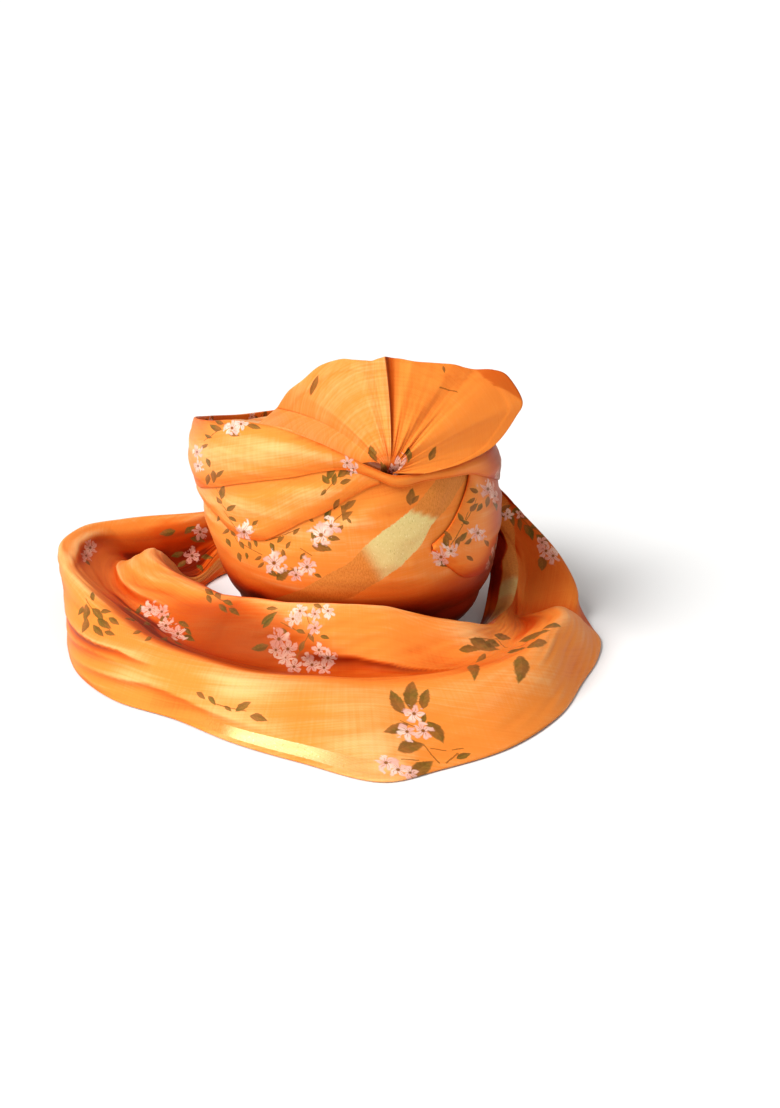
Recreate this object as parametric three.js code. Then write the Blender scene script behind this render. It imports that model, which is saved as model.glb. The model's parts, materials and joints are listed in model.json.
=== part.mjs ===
import * as THREE from 'three';

// A ready-tied turban resting on a table: a wound crown with an open base, a pleated fan at the
// front and one long free tail that comes out at the back right and lies round the crown.
// Millimetres, +Z up, the front faces -Y. A turn is an angle round the crown in degrees: 0 at the
// front, 90 at +X and 180 at the back. The tables hold shares of the sizes named here.

// The opening for the head, and the wound crown round it
const headWidth = 158;
const headLength = 200;
const crownWidth = 262;
const crownDepth = 288;
const crownHeight = 225;
const crownWall = 7;
const crownShoulder = 11;
const domeHeight = 176;
const domeWall = 5;
const domeBend = 2.2;

// The wraps that lie over the crown, one on the other
const wrapCloth = 2.4;
const wrapGap = 0.6;
const wrapRest = 8;
const wrapEase = 24;
const wrapTuck = 8;
const rimStand = 6;
const brimLift = 3;

// The cloth over the top of the crown
const topCloth = 2.4;
const topGap = 0.5;
const topReach = 0.95;
const topFold = 4;
const topFolds = 5;

// The fan, from its root at the front of the rim. Its folds rise and lean back by these powers.
const fanCloth = 2.4;
const fanReach = 120;
const fanRoot = 9;
const fanRootAngle = 20;
const fanRootOut = 5;
const fanRootRise = 1.5;
const fanRiseBend = 0.9;
const fanBackBend = 1.15;

// The tail. It comes out of the crown at this share of the crown's height.
const tailCloth = 2;
const tailSeat = 0.5;
const tailSpread = 200;
const tailRise = 74;
const tailAttachShare = 0.5156;
const tailAttach = tailAttachShare * crownHeight;

// How finely the cloth is divided. A wrap's start and end lie on stations.
const stations = 45;
const stationTurn = 360 / stations;
const tailSteps = 46;
const tailWideSteps = 10;

const { clamp, degToRad, euclideanModulo, lerp, smoothstep } = THREE.MathUtils;

// The crown from its base up: swell from the opening's size to the full width and depth, and lean
// towards +X as a share of half the width.
const crownForm = [
  { rise: 0, swell: 0, lean: 0.04 },
  { rise: 0.085, swell: 0.21, lean: 0.065 },
  { rise: 0.14, swell: 0.42, lean: 0.09 },
  { rise: 0.22, swell: 0.6, lean: 0.09 },
  { rise: 0.31, swell: 0.77, lean: 0.076 },
  { rise: 0.4, swell: 0.88, lean: 0.053 },
  { rise: 0.48, swell: 0.965, lean: 0.038 },
  { rise: 0.58, swell: 1, lean: 0.02 },
  { rise: 0.72, swell: 0.98, lean: -0.01 },
  { rise: 0.86, swell: 0.9, lean: -0.05 },
  { rise: 1, swell: 0.8, lean: -0.07 },
];

// The wraps' edges, as shares of the crown's height. The upper wrap's top edge is the rim.
const upperRows = [
  { turn: -90, low: 0.667, high: 0.876 },
  { turn: -74, low: 0.65, high: 0.915 },
  { turn: -56, low: 0.698, high: 0.956 },
  { turn: -42, low: 0.747, high: 0.99 },
  { turn: -27, low: 0.791, high: 1 },
  { turn: -15, low: 0.818, high: 0.985 },
  { turn: -4, low: 0.844, high: 0.95 },
  { turn: 5, low: 0.848, high: 0.905 },
  { turn: 13, low: 0.815, high: 0.858 },
  { turn: 21, low: 0.772, high: 0.817 },
  { turn: 36, low: 0.77, high: 0.81 },
  { turn: 55, low: 0.745, high: 0.8 },
  { turn: 70, low: 0.685, high: 0.785 },
  { turn: 87, low: 0.62, high: 0.77 },
  { turn: 135, low: 0.533, high: 0.755 },
  { turn: 180, low: 0.507, high: 0.747 },
  { turn: 225, low: 0.55, high: 0.765 },
  { turn: 250, low: 0.613, high: 0.82 },
];
const middleRows = [
  { turn: -180, low: 0.391 },
  { turn: -150, low: 0.436 },
  { turn: -120, low: 0.498 },
  { turn: -90, low: 0.56 },
  { turn: -70, low: 0.591 },
  { turn: -58, low: 0.578 },
  { turn: -46, low: 0.535 },
  { turn: -37, low: 0.538 },
  { turn: -31, low: 0.551 },
  { turn: -22, low: 0.6 },
  { turn: -14, low: 0.649 },
  { turn: -8, low: 0.676 },
  { turn: 8, low: 0.765 },
  { turn: 16, low: 0.79 },
];
const sideRows = [
  { turn: 32, low: 0.5, high: 0.53 },
  { turn: 40, low: 0.415, high: 0.58 },
  { turn: 48, low: 0.35, high: 0.66 },
  { turn: 56, low: 0.33, high: 0.76 },
  { turn: 64, low: 0.32, high: 0.9 },
  { turn: 90, low: 0.32, high: 0.9 },
  { turn: 150, low: 0.338, high: 0.9 },
  { turn: 200, low: 0.356, high: 0.9 },
];
const goldRows = [
  { turn: -90, low: 0.222 },
  { turn: -45, low: 0.204 },
  { turn: 0, low: 0.196 },
  { turn: 45, low: 0.231 },
  { turn: 90, low: 0.196 },
  { turn: 135, low: 0.213 },
  { turn: 180, low: 0.231 },
  { turn: 225, low: 0.222 },
];

// The fan's folds from left to right, as shares of its reach: how far each one goes across, back
// and up from the root, and how far it arches up on the way.
const fanFolds = [
  { across: -0.89, back: 0.75, up: 0.25, arch: 0.09 },
  { across: -0.8, back: 0.63, up: 0.4, arch: 0.06 },
  { across: -0.69, back: 0.5, up: 0.55, arch: 0.03 },
  { across: -0.54, back: 0.4, up: 0.67, arch: 0.02 },
  { across: -0.36, back: 0.33, up: 0.75, arch: 0.01 },
  { across: -0.27, back: 0.38, up: 0.74, arch: 0.02 },
  { across: -0.19, back: 0.28, up: 0.77, arch: 0.01 },
  { across: -0.14, back: 0.25, up: 0.82, arch: 0 },
  { across: -0.1, back: 0.34, up: 0.76, arch: 0 },
  { across: -0.06, back: 0.43, up: 0.73, arch: 0 },
  { across: 0, back: 0.36, up: 0.75, arch: 0 },
  { across: 0.05, back: 0.35, up: 0.75, arch: 0 },
  { across: 0.12, back: 0.42, up: 0.72, arch: 0 },
  { across: 0.19, back: 0.34, up: 0.73, arch: 0 },
  { across: 0.27, back: 0.4, up: 0.71, arch: 0 },
  { across: 0.35, back: 0.33, up: 0.71, arch: 0 },
  { across: 0.44, back: 0.38, up: 0.69, arch: 0 },
  { across: 0.51, back: 0.35, up: 0.68, arch: 0 },
  { across: 0.61, back: 0.48, up: 0.66, arch: 0.01 },
  { across: 0.74, back: 0.57, up: 0.63, arch: 0.02 },
  { across: 0.84, back: 0.6, up: 0.55, arch: 0.03 },
  { across: 0.95, back: 0.63, up: 0.37, arch: 0.04 },
  { across: 0.89, back: 0.55, up: 0.26, arch: 0.04 },
  { across: 0.78, back: 0.45, up: 0.18, arch: 0.03 },
  { across: 0.66, back: 0.34, up: 0.1, arch: 0.02 },
  { across: 0.48, back: 0.2, up: 0.04, arch: 0.01 },
  { across: 0.26, back: 0.07, up: 0, arch: 0 },
];

// Sections of the tail from its start to its end. Each point says how far out from the crown's
// side it lies, as a share of the tail's spread, and how high. Heights are shares of the tail's
// attachment where it hangs down the crown, and of its rise where it lies on the table.
const hangingSections = [
  { turn: 156, inner: [0, 0.79], crest: [0.01, 0.84], valley: [0.01, 0.9], ridge: [0.01, 0.94],
    hem: [0, 0.98] },
  { turn: 140, inner: [0.01, 0.72], crest: [0.025, 0.8], valley: [0.015, 0.87],
    ridge: [0.03, 0.94], hem: [0.005, 1] },
  { turn: 126, inner: [0.01, 0.64], crest: [0.04, 0.72], valley: [0.03, 0.82],
    ridge: [0.07, 0.92], hem: [0.05, 0.98] },
  { turn: 116, inner: [0.005, 0.55], crest: [0.04, 0.66], valley: [0.03, 0.74],
    ridge: [0.11, 0.86], hem: [0.09, 0.9] },
  { turn: 107, inner: [0.01, 0.45], crest: [0.07, 0.55], valley: [0.09, 0.6],
    ridge: [0.18, 0.72], hem: [0.2, 0.68] },
  { turn: 98, inner: [0.04, 0.33], crest: [0.12, 0.43], valley: [0.18, 0.4],
    ridge: [0.31, 0.48], hem: [0.38, 0.36] },
  { turn: 90, inner: [0.08, 0.21], crest: [0.15, 0.31], valley: [0.24, 0.23],
    ridge: [0.43, 0.28], hem: [0.57, 0.11] },
  { turn: 83, inner: [0.12, 0.12], crest: [0.19, 0.21], valley: [0.3, 0.1],
    ridge: [0.48, 0.16], hem: [0.65, 0.03] },
];
const lyingSections = [
  { turn: 76, inner: [0.13, 0.11], crest: [0.18, 0.32], valley: [0.27, 0.24],
    ridge: [0.4, 0.42], hem: [0.7, 0.04] },
  { turn: 66, inner: [0.13, 0.06], crest: [0.16, 0.33], valley: [0.3, 0.3],
    ridge: [0.43, 0.51], hem: [0.73, 0.02] },
  { turn: 54, inner: [0.12, 0.04], crest: [0.15, 0.43], valley: [0.31, 0.36],
    ridge: [0.45, 0.57], hem: [0.76, 0.02] },
  { turn: 40, inner: [0.1, 0.04], crest: [0.13, 0.65], valley: [0.34, 0.4],
    ridge: [0.52, 0.57], hem: [0.87, 0.02] },
  { turn: 26, inner: [0.1, 0.04], crest: [0.07, 0.82], valley: [0.33, 0.36],
    ridge: [0.54, 0.54], hem: [0.98, 0.02] },
  { turn: 14, inner: [0.1, 0.04], crest: [0.04, 0.97], valley: [0.31, 0.34],
    ridge: [0.52, 0.51], hem: [1.05, 0.02] },
  { turn: 6, inner: [0.1, 0.04], crest: [0.04, 1], valley: [0.29, 0.32], ridge: [0.51, 0.51],
    hem: [1.11, 0.02] },
  { turn: -6, inner: [0.1, 0.04], crest: [0.04, 1], valley: [0.3, 0.32], ridge: [0.5, 0.54],
    hem: [0.95, 0.02] },
  { turn: -18, inner: [0.09, 0.04], crest: [0.05, 0.96], valley: [0.32, 0.34],
    ridge: [0.49, 0.57], hem: [0.86, 0.02] },
  { turn: -32, inner: [0.08, 0.05], crest: [0.05, 0.91], valley: [0.35, 0.36],
    ridge: [0.49, 0.59], hem: [0.78, 0.02] },
  { turn: -46, inner: [0.07, 0.08], crest: [0.06, 0.8], valley: [0.38, 0.38],
    ridge: [0.5, 0.64], hem: [0.82, 0.02] },
  { turn: -60, inner: [0.08, 0.14], crest: [0.09, 0.7], valley: [0.39, 0.41],
    ridge: [0.51, 0.69], hem: [0.88, 0.02] },
  { turn: -74, inner: [0.13, 0.19], crest: [0.15, 0.68], valley: [0.45, 0.41],
    ridge: [0.58, 0.77], hem: [0.87, 0.03] },
  { turn: -87, inner: [0.22, 0.19], crest: [0.25, 0.68], valley: [0.52, 0.41],
    ridge: [0.7, 0.84], hem: [0.87, 0.06] },
  { turn: -98, inner: [0.28, 0.14], crest: [0.35, 0.65], valley: [0.56, 0.38],
    ridge: [0.8, 0.9], hem: [0.92, 0.14] },
  { turn: -109, inner: [0.33, 0.05], crest: [0.41, 0.51], valley: [0.54, 0.35],
    ridge: [0.83, 0.9], hem: [0.93, 0.2] },
  { turn: -120, inner: [0.37, 0.02], crest: [0.4, 0.38], valley: [0.48, 0.35],
    ridge: [0.63, 0.84], hem: [0.84, 0.13] },
  { turn: -132, inner: [0.39, 0.02], crest: [0.38, 0.41], valley: [0.41, 0.46],
    ridge: [0.41, 0.81], hem: [0.7, 0.05] },
  { turn: -146, inner: [0.37, 0.02], crest: [0.34, 0.46], valley: [0.37, 0.49],
    ridge: [0.36, 0.78], hem: [0.64, 0.03] },
  { turn: -162, inner: [0.3, 0.02], crest: [0.28, 0.41], valley: [0.32, 0.41],
    ridge: [0.33, 0.68], hem: [0.57, 0.02] },
  { turn: -180, inner: [0.26, 0.02], crest: [0.25, 0.3], valley: [0.31, 0.27],
    ridge: [0.32, 0.46], hem: [0.51, 0.02] },
];
const sectionLines = ['inner', 'crest', 'valley', 'ridge', 'hem'];

// Tables

// One column of a table at a place along its key column, on a smooth curve through the rows.
function read(rows, key, column, at) {
  const last = rows.length - 1;
  let row = 0;
  while (row < last - 1 && rows[row + 1][key] < at) row += 1;
  const slope = (index) => {
    const before = rows[Math.max(index - 1, 0)];
    const after = rows[Math.min(index + 1, last)];
    return (after[column] - before[column]) / (after[key] - before[key]);
  };
  const span = rows[row + 1][key] - rows[row][key];
  const t = clamp((at - rows[row][key]) / span, 0, 1);
  const start = rows[row][column];
  const end = rows[row + 1][column];
  return start * (2 * t ** 3 - 3 * t ** 2 + 1) + slope(row) * span * (t ** 3 - 2 * t ** 2 + t)
    + end * (3 * t ** 2 - 2 * t ** 3) + slope(row + 1) * span * (t ** 3 - t ** 2);
}

// A table that goes all the way round, with one more lap before and after it.
function lapped(rows) {
  const lap = (turns) => rows.map((row) => ({ ...row, turn: row.turn + turns }));
  return [...lap(-360), ...rows, ...lap(360)];
}

// The wound crown

const baseHalfWidth = headWidth / 2 + crownWall;
const baseHalfDepth = headLength / 2 + crownWall;

// The crown's half sizes and lean at a height
function crownSize(z) {
  const rise = z / crownHeight;
  const swell = read(crownForm, 'rise', 'swell', rise);
  return {
    lean: read(crownForm, 'rise', 'lean', rise) * crownWidth / 2,
    halfWidth: lerp(baseHalfWidth, crownWidth / 2, swell),
    halfDepth: lerp(baseHalfDepth, crownDepth / 2, swell),
  };
}

function crownPoint(turn, z, inset = 0) {
  const { lean, halfWidth, halfDepth } = crownSize(z);
  const angle = degToRad(turn);
  const x = lean + (halfWidth - inset) * Math.sin(angle);
  const y = -(halfDepth - inset) * Math.cos(angle);
  return new THREE.Vector3(x, y, z);
}

function crownNormal(turn, z) {
  const across = crownPoint(turn + 1, z).sub(crownPoint(turn - 1, z));
  const up = crownPoint(turn, z + 1).sub(crownPoint(turn, z - 1));
  return across.cross(up).normalize();
}

const upperTable = lapped(upperRows);
const goldTable = lapped(goldRows);

const rim = (turn) => read(upperTable, 'turn', 'high', turn) * crownHeight;

// Where the wound core stops under the rim, and the dome that closes its top
const coreTop = (turn) => rim(turn) - rimStand;

function domePoint(turn, share, drop = 0) {
  const edge = crownPoint(turn, coreTop(turn), crownShoulder);
  const middle = new THREE.Vector3(crownSize(domeHeight).lean, 0, domeHeight);
  const point = middle.clone().lerp(edge, share);
  point.z = domeHeight + (edge.z - domeHeight) * share ** domeBend - drop;
  return point;
}

// The wraps. Each one gives its edges at a turn; one that doesn't go all the way round has a start
// and an end, and has no edges past them.

function upperEdges(turn) {
  return { low: read(upperTable, 'turn', 'low', turn) * crownHeight, high: rim(turn) };
}

// How high a wrap reaches that is tucked under the upper wrap, deeper for one that lies lower down
function tucked(turn, depth) {
  const { low, high } = upperEdges(turn);
  return Math.min(low + depth * wrapTuck, high - wrapCloth - wrapGap);
}

const goldLow = (turn) => read(goldTable, 'turn', 'low', turn) * crownHeight;

const wraps = [
  {
    name: 'brim_wrap',
    color: '#c4560f',
    knots: [0, 0.16, 0.34, 0.52, 0.74, 1],
    edges: (turn) => ({ low: brimLift, high: goldLow(turn) + wrapTuck }),
  },
  {
    name: 'gold_wrap',
    color: '#e0822a',
    knots: [0, 0.07, 0.17, 0.28, 0.4, 0.52, 0.64, 0.76, 0.88, 1],
    edges: (turn) => ({ low: goldLow(turn), high: tucked(turn, 3) }),
  },
  {
    name: 'side_wrap',
    color: '#d96f1f',
    from: 32,
    to: 200,
    knots: [0, 0.08, 0.2, 0.34, 0.5, 0.66, 0.82, 0.93, 1],
    edges: (turn) => ({
      low: read(sideRows, 'turn', 'low', turn) * crownHeight,
      high: Math.min(read(sideRows, 'turn', 'high', turn) * crownHeight, tucked(turn, 2)),
    }),
  },
  {
    name: 'middle_wrap',
    color: '#ee9a45',
    from: -176,
    to: 16,
    knots: [0, 0.1, 0.3, 0.55, 0.8, 1],
    edges: (turn) => ({
      low: read(middleRows, 'turn', 'low', turn) * crownHeight,
      high: tucked(turn, 1),
    }),
  },
  {
    name: 'upper_wrap',
    color: '#f2a552',
    knots: [0, 0.16, 0.38, 0.65, 0.87, 1],
    edges: upperEdges,
  },
];

// A turn as the wrap counts it, or nothing where the wrap doesn't reach
function placeOn(wrap, turn) {
  if (wrap.from === undefined) return turn;
  const place = wrap.from + euclideanModulo(turn - wrap.from, 360);
  return place <= wrap.to ? place : undefined;
}

// How far a wrap lifts what lies on it, from 0 to 1: fully up to a rest past its edges and one
// station to each side, and less from there on.
function lift(wrap, turn, z) {
  const places = [turn - stationTurn, turn, turn + stationTurn].map((at) => placeOn(wrap, at));
  const lifts = places.filter((place) => place !== undefined).map((place) => {
    const { low, high } = wrap.edges(place);
    const past = Math.max(low - z, z - high, 0);
    return 1 - smoothstep(past, wrapRest, wrapRest + wrapEase);
  });
  return Math.max(0, ...lifts);
}

// How far out the cloth under the wrap of this number reaches
function stackUnder(number, turn, z) {
  const lifts = wraps.slice(0, number).map((wrap) => lift(wrap, turn, z));
  return lifts.reduce((sum, share) => sum + share * (wrapCloth + wrapGap), 0);
}

// Closed meshes from grids of points

function meshOf(name, points, faces, color) {
  const geometry = new THREE.BufferGeometry();
  const positions = points.flatMap((point) => point.toArray());
  geometry.setAttribute('position', new THREE.Float32BufferAttribute(positions, 3));
  geometry.setIndex(faces);
  geometry.computeVertexNormals();
  const material = new THREE.MeshStandardMaterial({ color, roughness: 0.55, metalness: 0 });
  const mesh = new THREE.Mesh(geometry, material);
  mesh.name = name;
  return mesh;
}

// A cloth with a front and a back grid of points. The front faces where its first direction
// crosses its second; a closed cloth joins its last station to its first.
function clothMesh(name, front, back, color, closed = false) {
  const long = front.length;
  const wide = front[0].length;
  const points = [...front.flat(), ...back.flat()];
  const faces = [];
  const quad = (a, b, c, d) => faces.push(a, b, c, a, c, d);
  const onFront = (i, j) => (i % long) * wide + j;
  const onBack = (i, j) => long * wide + (i % long) * wide + j;
  const steps = closed ? long : long - 1;
  for (let i = 0; i < steps; i += 1) {
    for (let j = 0; j < wide - 1; j += 1) {
      quad(onFront(i, j), onFront(i + 1, j), onFront(i + 1, j + 1), onFront(i, j + 1));
      quad(onBack(i, j), onBack(i, j + 1), onBack(i + 1, j + 1), onBack(i + 1, j));
    }
    const top = wide - 1;
    quad(onBack(i, 0), onBack(i + 1, 0), onFront(i + 1, 0), onFront(i, 0));
    quad(onFront(i, top), onFront(i + 1, top), onBack(i + 1, top), onBack(i, top));
  }
  if (!closed) {
    const end = long - 1;
    for (let j = 0; j < wide - 1; j += 1) {
      quad(onBack(0, j), onFront(0, j), onFront(0, j + 1), onBack(0, j + 1));
      quad(onFront(end, j), onBack(end, j), onBack(end, j + 1), onFront(end, j + 1));
    }
  }
  return meshOf(name, points, faces, color);
}

// A solid of rings that go from a point on its outside, down and back up to a point on its inside
function ringMesh(name, start, rings, end, color) {
  const around = rings[0].length;
  const points = [start, ...rings.flat(), end];
  const faces = [];
  const at = (ring, i) => 1 + ring * around + (i % around);
  for (let i = 0; i < around; i += 1) {
    faces.push(0, at(0, i), at(0, i + 1));
    for (let ring = 0; ring < rings.length - 1; ring += 1) {
      faces.push(at(ring, i), at(ring + 1, i), at(ring + 1, i + 1));
      faces.push(at(ring, i), at(ring + 1, i + 1), at(ring, i + 1));
    }
    faces.push(at(rings.length - 1, i), points.length - 1, at(rings.length - 1, i + 1));
  }
  return meshOf(name, points, faces, color);
}

const turns = Array.from({ length: stations }, (_, i) => i * stationTurn);
const ringOf = (point) => turns.map((turn) => point(turn));

// The rings of the dome, up to the edge of the cloth on it
const domeShares = [0.25, 0.5, 0.75, topReach];

// The wound core: a hollow bowl upside down, with a rounded shoulder and a sunken dome
function buildCore() {
  const shoulderAngles = [75, 50, 25];
  const sideShares = [1, 0.87, 0.73, 0.6, 0.48, 0.38, 0.3, 0.23, 0.165, 0.11, 0.055, 0];
  const insideShares = [0, 0.12, 0.24, 0.4, 0.6, 0.8, 1];
  const ceilingShares = [0.9, 0.7, 0.4];
  const sideTop = (turn) => coreTop(turn) - crownShoulder;
  const shoulderPoint = (turn, angle) => {
    const inset = crownShoulder * (1 - Math.cos(degToRad(angle)));
    const point = crownPoint(turn, sideTop(turn), inset);
    point.z += crownShoulder * Math.sin(degToRad(angle));
    return point;
  };
  const insideTop = (turn) => domePoint(turn, 1, domeWall).z - crownShoulder / 2;
  const insideSide = (turn, share) => crownPoint(turn, share * insideTop(turn), crownWall);
  const rings = [
    ...[...domeShares, 1].map((share) => ringOf((turn) => domePoint(turn, share))),
    ...shoulderAngles.map((angle) => ringOf((turn) => shoulderPoint(turn, angle))),
    ...sideShares.map((share) => ringOf((turn) => crownPoint(turn, share * sideTop(turn)))),
    ...insideShares.map((share) => ringOf((turn) => insideSide(turn, share))),
    ...ceilingShares.map((share) => ringOf((turn) => domePoint(turn, share, domeWall))),
  ];
  return ringMesh('crown_core', domePoint(0, 0), rings, domePoint(0, 0, domeWall), '#b9500f');
}

function buildWrap(wrap, number) {
  const closed = wrap.from === undefined;
  const start = closed ? 0 : wrap.from;
  const count = closed ? stations : (wrap.to - wrap.from) / stationTurn + 1;
  const places = Array.from({ length: count }, (_, i) => start + i * stationTurn);
  const layer = (out) => places.map((turn) => {
    const { low, high } = wrap.edges(turn);
    return wrap.knots.map((knot) => {
      const z = lerp(low, high, knot);
      const reach = stackUnder(number, turn, z) + wrapGap + out;
      return crownPoint(turn, z).addScaledVector(crownNormal(turn, z), reach);
    });
  });
  return clothMesh(wrap.name, layer(wrapCloth), layer(0), wrap.color, closed);
}

// The cloth over the dome, with soft folds that run from its middle to the rim
function buildTop() {
  const fold = (turn, share) => (
    topFold * share ** 2 * Math.sin(degToRad(turn * topFolds)) ** 2);
  const layer = (out) => domeShares.map((share) => ringOf((turn) => {
    const point = domePoint(turn, share);
    point.z += topGap + fold(turn, share) + out;
    return point;
  }));
  const middle = (out) => domePoint(0, 0, -topGap - out);
  const rings = [...layer(topCloth), ...layer(0).reverse()];
  return ringMesh('top_wrap', middle(topCloth), rings, middle(0), '#e98f3a');
}

// The fan: its folds spread from a small root just outside the rim
function buildFan() {
  const root = crownPoint(fanRootAngle, rim(fanRootAngle));
  root.addScaledVector(crownNormal(fanRootAngle, root.z), fanRootOut);
  root.z += fanRootRise;
  const shares = [0, 0.1, 0.28, 0.52, 0.77, 1].map((share) => (
    lerp(fanRoot / fanReach, 1, share)));
  const folds = fanFolds.map((row, number) => ({ number, ...row }));
  const steps = (folds.length - 1) * 2;
  const foldPoint = (number, share) => {
    const value = (column) => read(folds, 'number', column, number);
    const arch = value('arch') * Math.sin(Math.PI * share);
    return new THREE.Vector3(
      value('across') * share,
      value('back') * share ** fanBackBend,
      value('up') * share ** fanRiseBend + arch,
    ).multiplyScalar(fanReach).add(root);
  };
  // The cloth's thickness goes square to the fan's broad shape, whatever the small folds do
  const broad = 3;
  const face = (number, share) => {
    const left = foldPoint(clamp(number - broad, 0, folds.length - 1), share);
    const right = foldPoint(clamp(number + broad, 0, folds.length - 1), share);
    const along = foldPoint(number, share).sub(root);
    return right.sub(left).cross(along).normalize();
  };
  const layer = (out) => Array.from({ length: steps + 1 }, (_, i) => shares.map((share) => {
    const point = foldPoint(i / 2, share);
    return point.addScaledVector(face(i / 2, share), out);
  }));
  return clothMesh('fan', layer(fanCloth / 2), layer(-fanCloth / 2), '#f39a3c');
}

// The tail

// How far the crown and the wraps on it reach from the middle, in one direction at one height
function crownReach(turn, z) {
  const { lean, halfWidth, halfDepth } = crownSize(z);
  const x = Math.sin(degToRad(turn)) / halfWidth;
  const y = Math.cos(degToRad(turn)) / halfDepth;
  const square = x ** 2 + y ** 2;
  const half = x * lean / halfWidth;
  const reach = (half + Math.sqrt(half ** 2 - square * ((lean / halfWidth) ** 2 - 1))) / square;
  return reach + stackUnder(wraps.length, turn, z);
}

function sectionPoint(turn, [out, rise], height) {
  const z = rise * height;
  const reach = crownReach(turn, z) + tailSeat + tailCloth / 2 + out * tailSpread;
  const angle = degToRad(turn);
  return new THREE.Vector3(reach * Math.sin(angle), -reach * Math.cos(angle), z);
}

function buildTail() {
  const lines = sectionLines.map((line) => new THREE.CatmullRomCurve3([
    ...hangingSections.map((row) => sectionPoint(row.turn, row[line], tailAttach)),
    ...lyingSections.map((row) => sectionPoint(row.turn, row[line], tailRise)),
  ]));
  const middle = Array.from({ length: tailSteps + 1 }, (_, i) => {
    const section = new THREE.CatmullRomCurve3(lines.map((line) => line.getPoint(i / tailSteps)));
    return section.getPoints(tailWideSteps);
  });
  const facing = (i, j) => {
    const along = middle[Math.min(i + 1, tailSteps)][j].clone();
    along.sub(middle[Math.max(i - 1, 0)][j]);
    const across = middle[i][Math.min(j + 1, tailWideSteps)].clone();
    across.sub(middle[i][Math.max(j - 1, 0)]);
    return along.cross(across).normalize();
  };
  const layer = (out) => middle.map((section, i) => section.map((point, j) => (
    point.clone().addScaledVector(facing(i, j), out))));
  return clothMesh('tail', layer(tailCloth / 2), layer(-tailCloth / 2), '#ef8b30');
}

// The whole turban, with the middle of its box over the origin and its base on the table

const turban = new THREE.Group();
turban.add(buildCore());
turban.add(...wraps.map(buildWrap));
turban.add(buildTop());
turban.add(buildFan());
turban.add(buildTail());

const box = new THREE.Box3().setFromObject(turban);
const centre = box.getCenter(new THREE.Vector3());
turban.position.set(-centre.x, -centre.y, -box.min.z);

const part = new THREE.Group();
part.add(turban);

export default part;
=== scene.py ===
import json
import math

import bpy
import numpy as np
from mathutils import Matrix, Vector
from mathutils.bvhtree import BVHTree


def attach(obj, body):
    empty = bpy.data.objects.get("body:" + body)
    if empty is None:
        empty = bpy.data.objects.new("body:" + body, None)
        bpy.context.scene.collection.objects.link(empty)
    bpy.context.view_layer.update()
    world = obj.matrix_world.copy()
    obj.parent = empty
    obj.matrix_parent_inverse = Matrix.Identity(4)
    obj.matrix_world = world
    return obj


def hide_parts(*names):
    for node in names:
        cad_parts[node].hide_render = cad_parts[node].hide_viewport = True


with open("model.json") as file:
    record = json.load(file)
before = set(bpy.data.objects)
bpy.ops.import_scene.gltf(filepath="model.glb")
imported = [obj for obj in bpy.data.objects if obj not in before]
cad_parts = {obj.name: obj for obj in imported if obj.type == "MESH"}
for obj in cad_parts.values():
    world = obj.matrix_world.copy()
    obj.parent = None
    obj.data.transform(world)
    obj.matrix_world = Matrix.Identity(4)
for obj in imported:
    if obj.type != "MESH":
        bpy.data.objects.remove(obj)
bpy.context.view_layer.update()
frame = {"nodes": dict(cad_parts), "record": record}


# The table, the light and the camera
# A plain pale table top under a wide soft light from the front left and a weak one from the
# front, and a camera that looks down at the turban from the front.

CAMERA_LENS = 55.9
SENSOR = 36.0
PHOTO_WIDTH, PHOTO_HEIGHT = 780, 1108
CAMERA_TILT = math.radians(20)
CAMERA_AWAY = 1.6
CAMERA_AIM = (0.040, 0.0, 0.065)
CROWN_LEAN_AT_BASE = 0.00524
TABLE_SIZE, TABLE_MIDDLE = 80, (0, 20.0, 0)
TABLE_ROUGHNESS = 0.8
AMBIENT, AMBIENT_COLOUR = 0.36, (1.0, 0.99, 0.97, 1)
# name, place, strength, how wide it looks in degrees
LIGHTS = [
    ("key_light", (-1.5, -1.15, 1.75), 3.95, 32),
    ("front_light", (0.4, -2.0, 0.9), 0.35, 40),
]


def linear(red, green, blue):
    """A colour as the eye sees it, out of 255, in the numbers that light adds up in."""
    shares = [c / 255 for c in (red, green, blue)]
    return [s / 12.92 if s <= 0.04045 else ((s + 0.055) / 1.055) ** 2.4 for s in shares] + [1.0]


seat = next(m for m in frame["record"]["mounts"] if m["name"] == "head_seat")["pos_m"]
AXIS = np.array([seat[0] - CROWN_LEAN_AT_BASE, seat[1], 0.0])

camera_target = AXIS + CAMERA_AIM
camera_right = np.array([1.0, 0.0, 0.0])
camera_back = np.array([0.0, -math.cos(CAMERA_TILT), math.sin(CAMERA_TILT)])
camera_up = np.array([0.0, math.sin(CAMERA_TILT), math.cos(CAMERA_TILT)])
camera_place = camera_target + camera_back * CAMERA_AWAY
camera_data = bpy.data.cameras.new("camera")
camera_data.lens = CAMERA_LENS
camera_data.sensor_fit = "AUTO"
camera_data.sensor_width = SENSOR
camera = bpy.data.objects.new("camera", camera_data)
camera.location = camera_place
camera.rotation_euler = Vector(-camera_back).to_track_quat("-Z", "Y").to_euler()
bpy.context.scene.collection.objects.link(camera)
bpy.context.scene.camera = camera


def photo_ray(x, y):
    """The direction from the camera through a point of its picture, in the photograph's pixels."""
    focal = CAMERA_LENS / SENSOR * PHOTO_HEIGHT
    across, down = x - PHOTO_WIDTH / 2, y - PHOTO_HEIGHT / 2
    ray = (camera_right * across - camera_up * down) / focal - camera_back
    return ray / np.linalg.norm(ray)


def deselect():
    if bpy.context.object and bpy.context.object.mode != "OBJECT":
        bpy.ops.object.mode_set(mode="OBJECT")
    bpy.ops.object.select_all(action="DESELECT")


def select_only(piece):
    deselect()
    piece.select_set(True)
    bpy.context.view_layer.objects.active = piece


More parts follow.
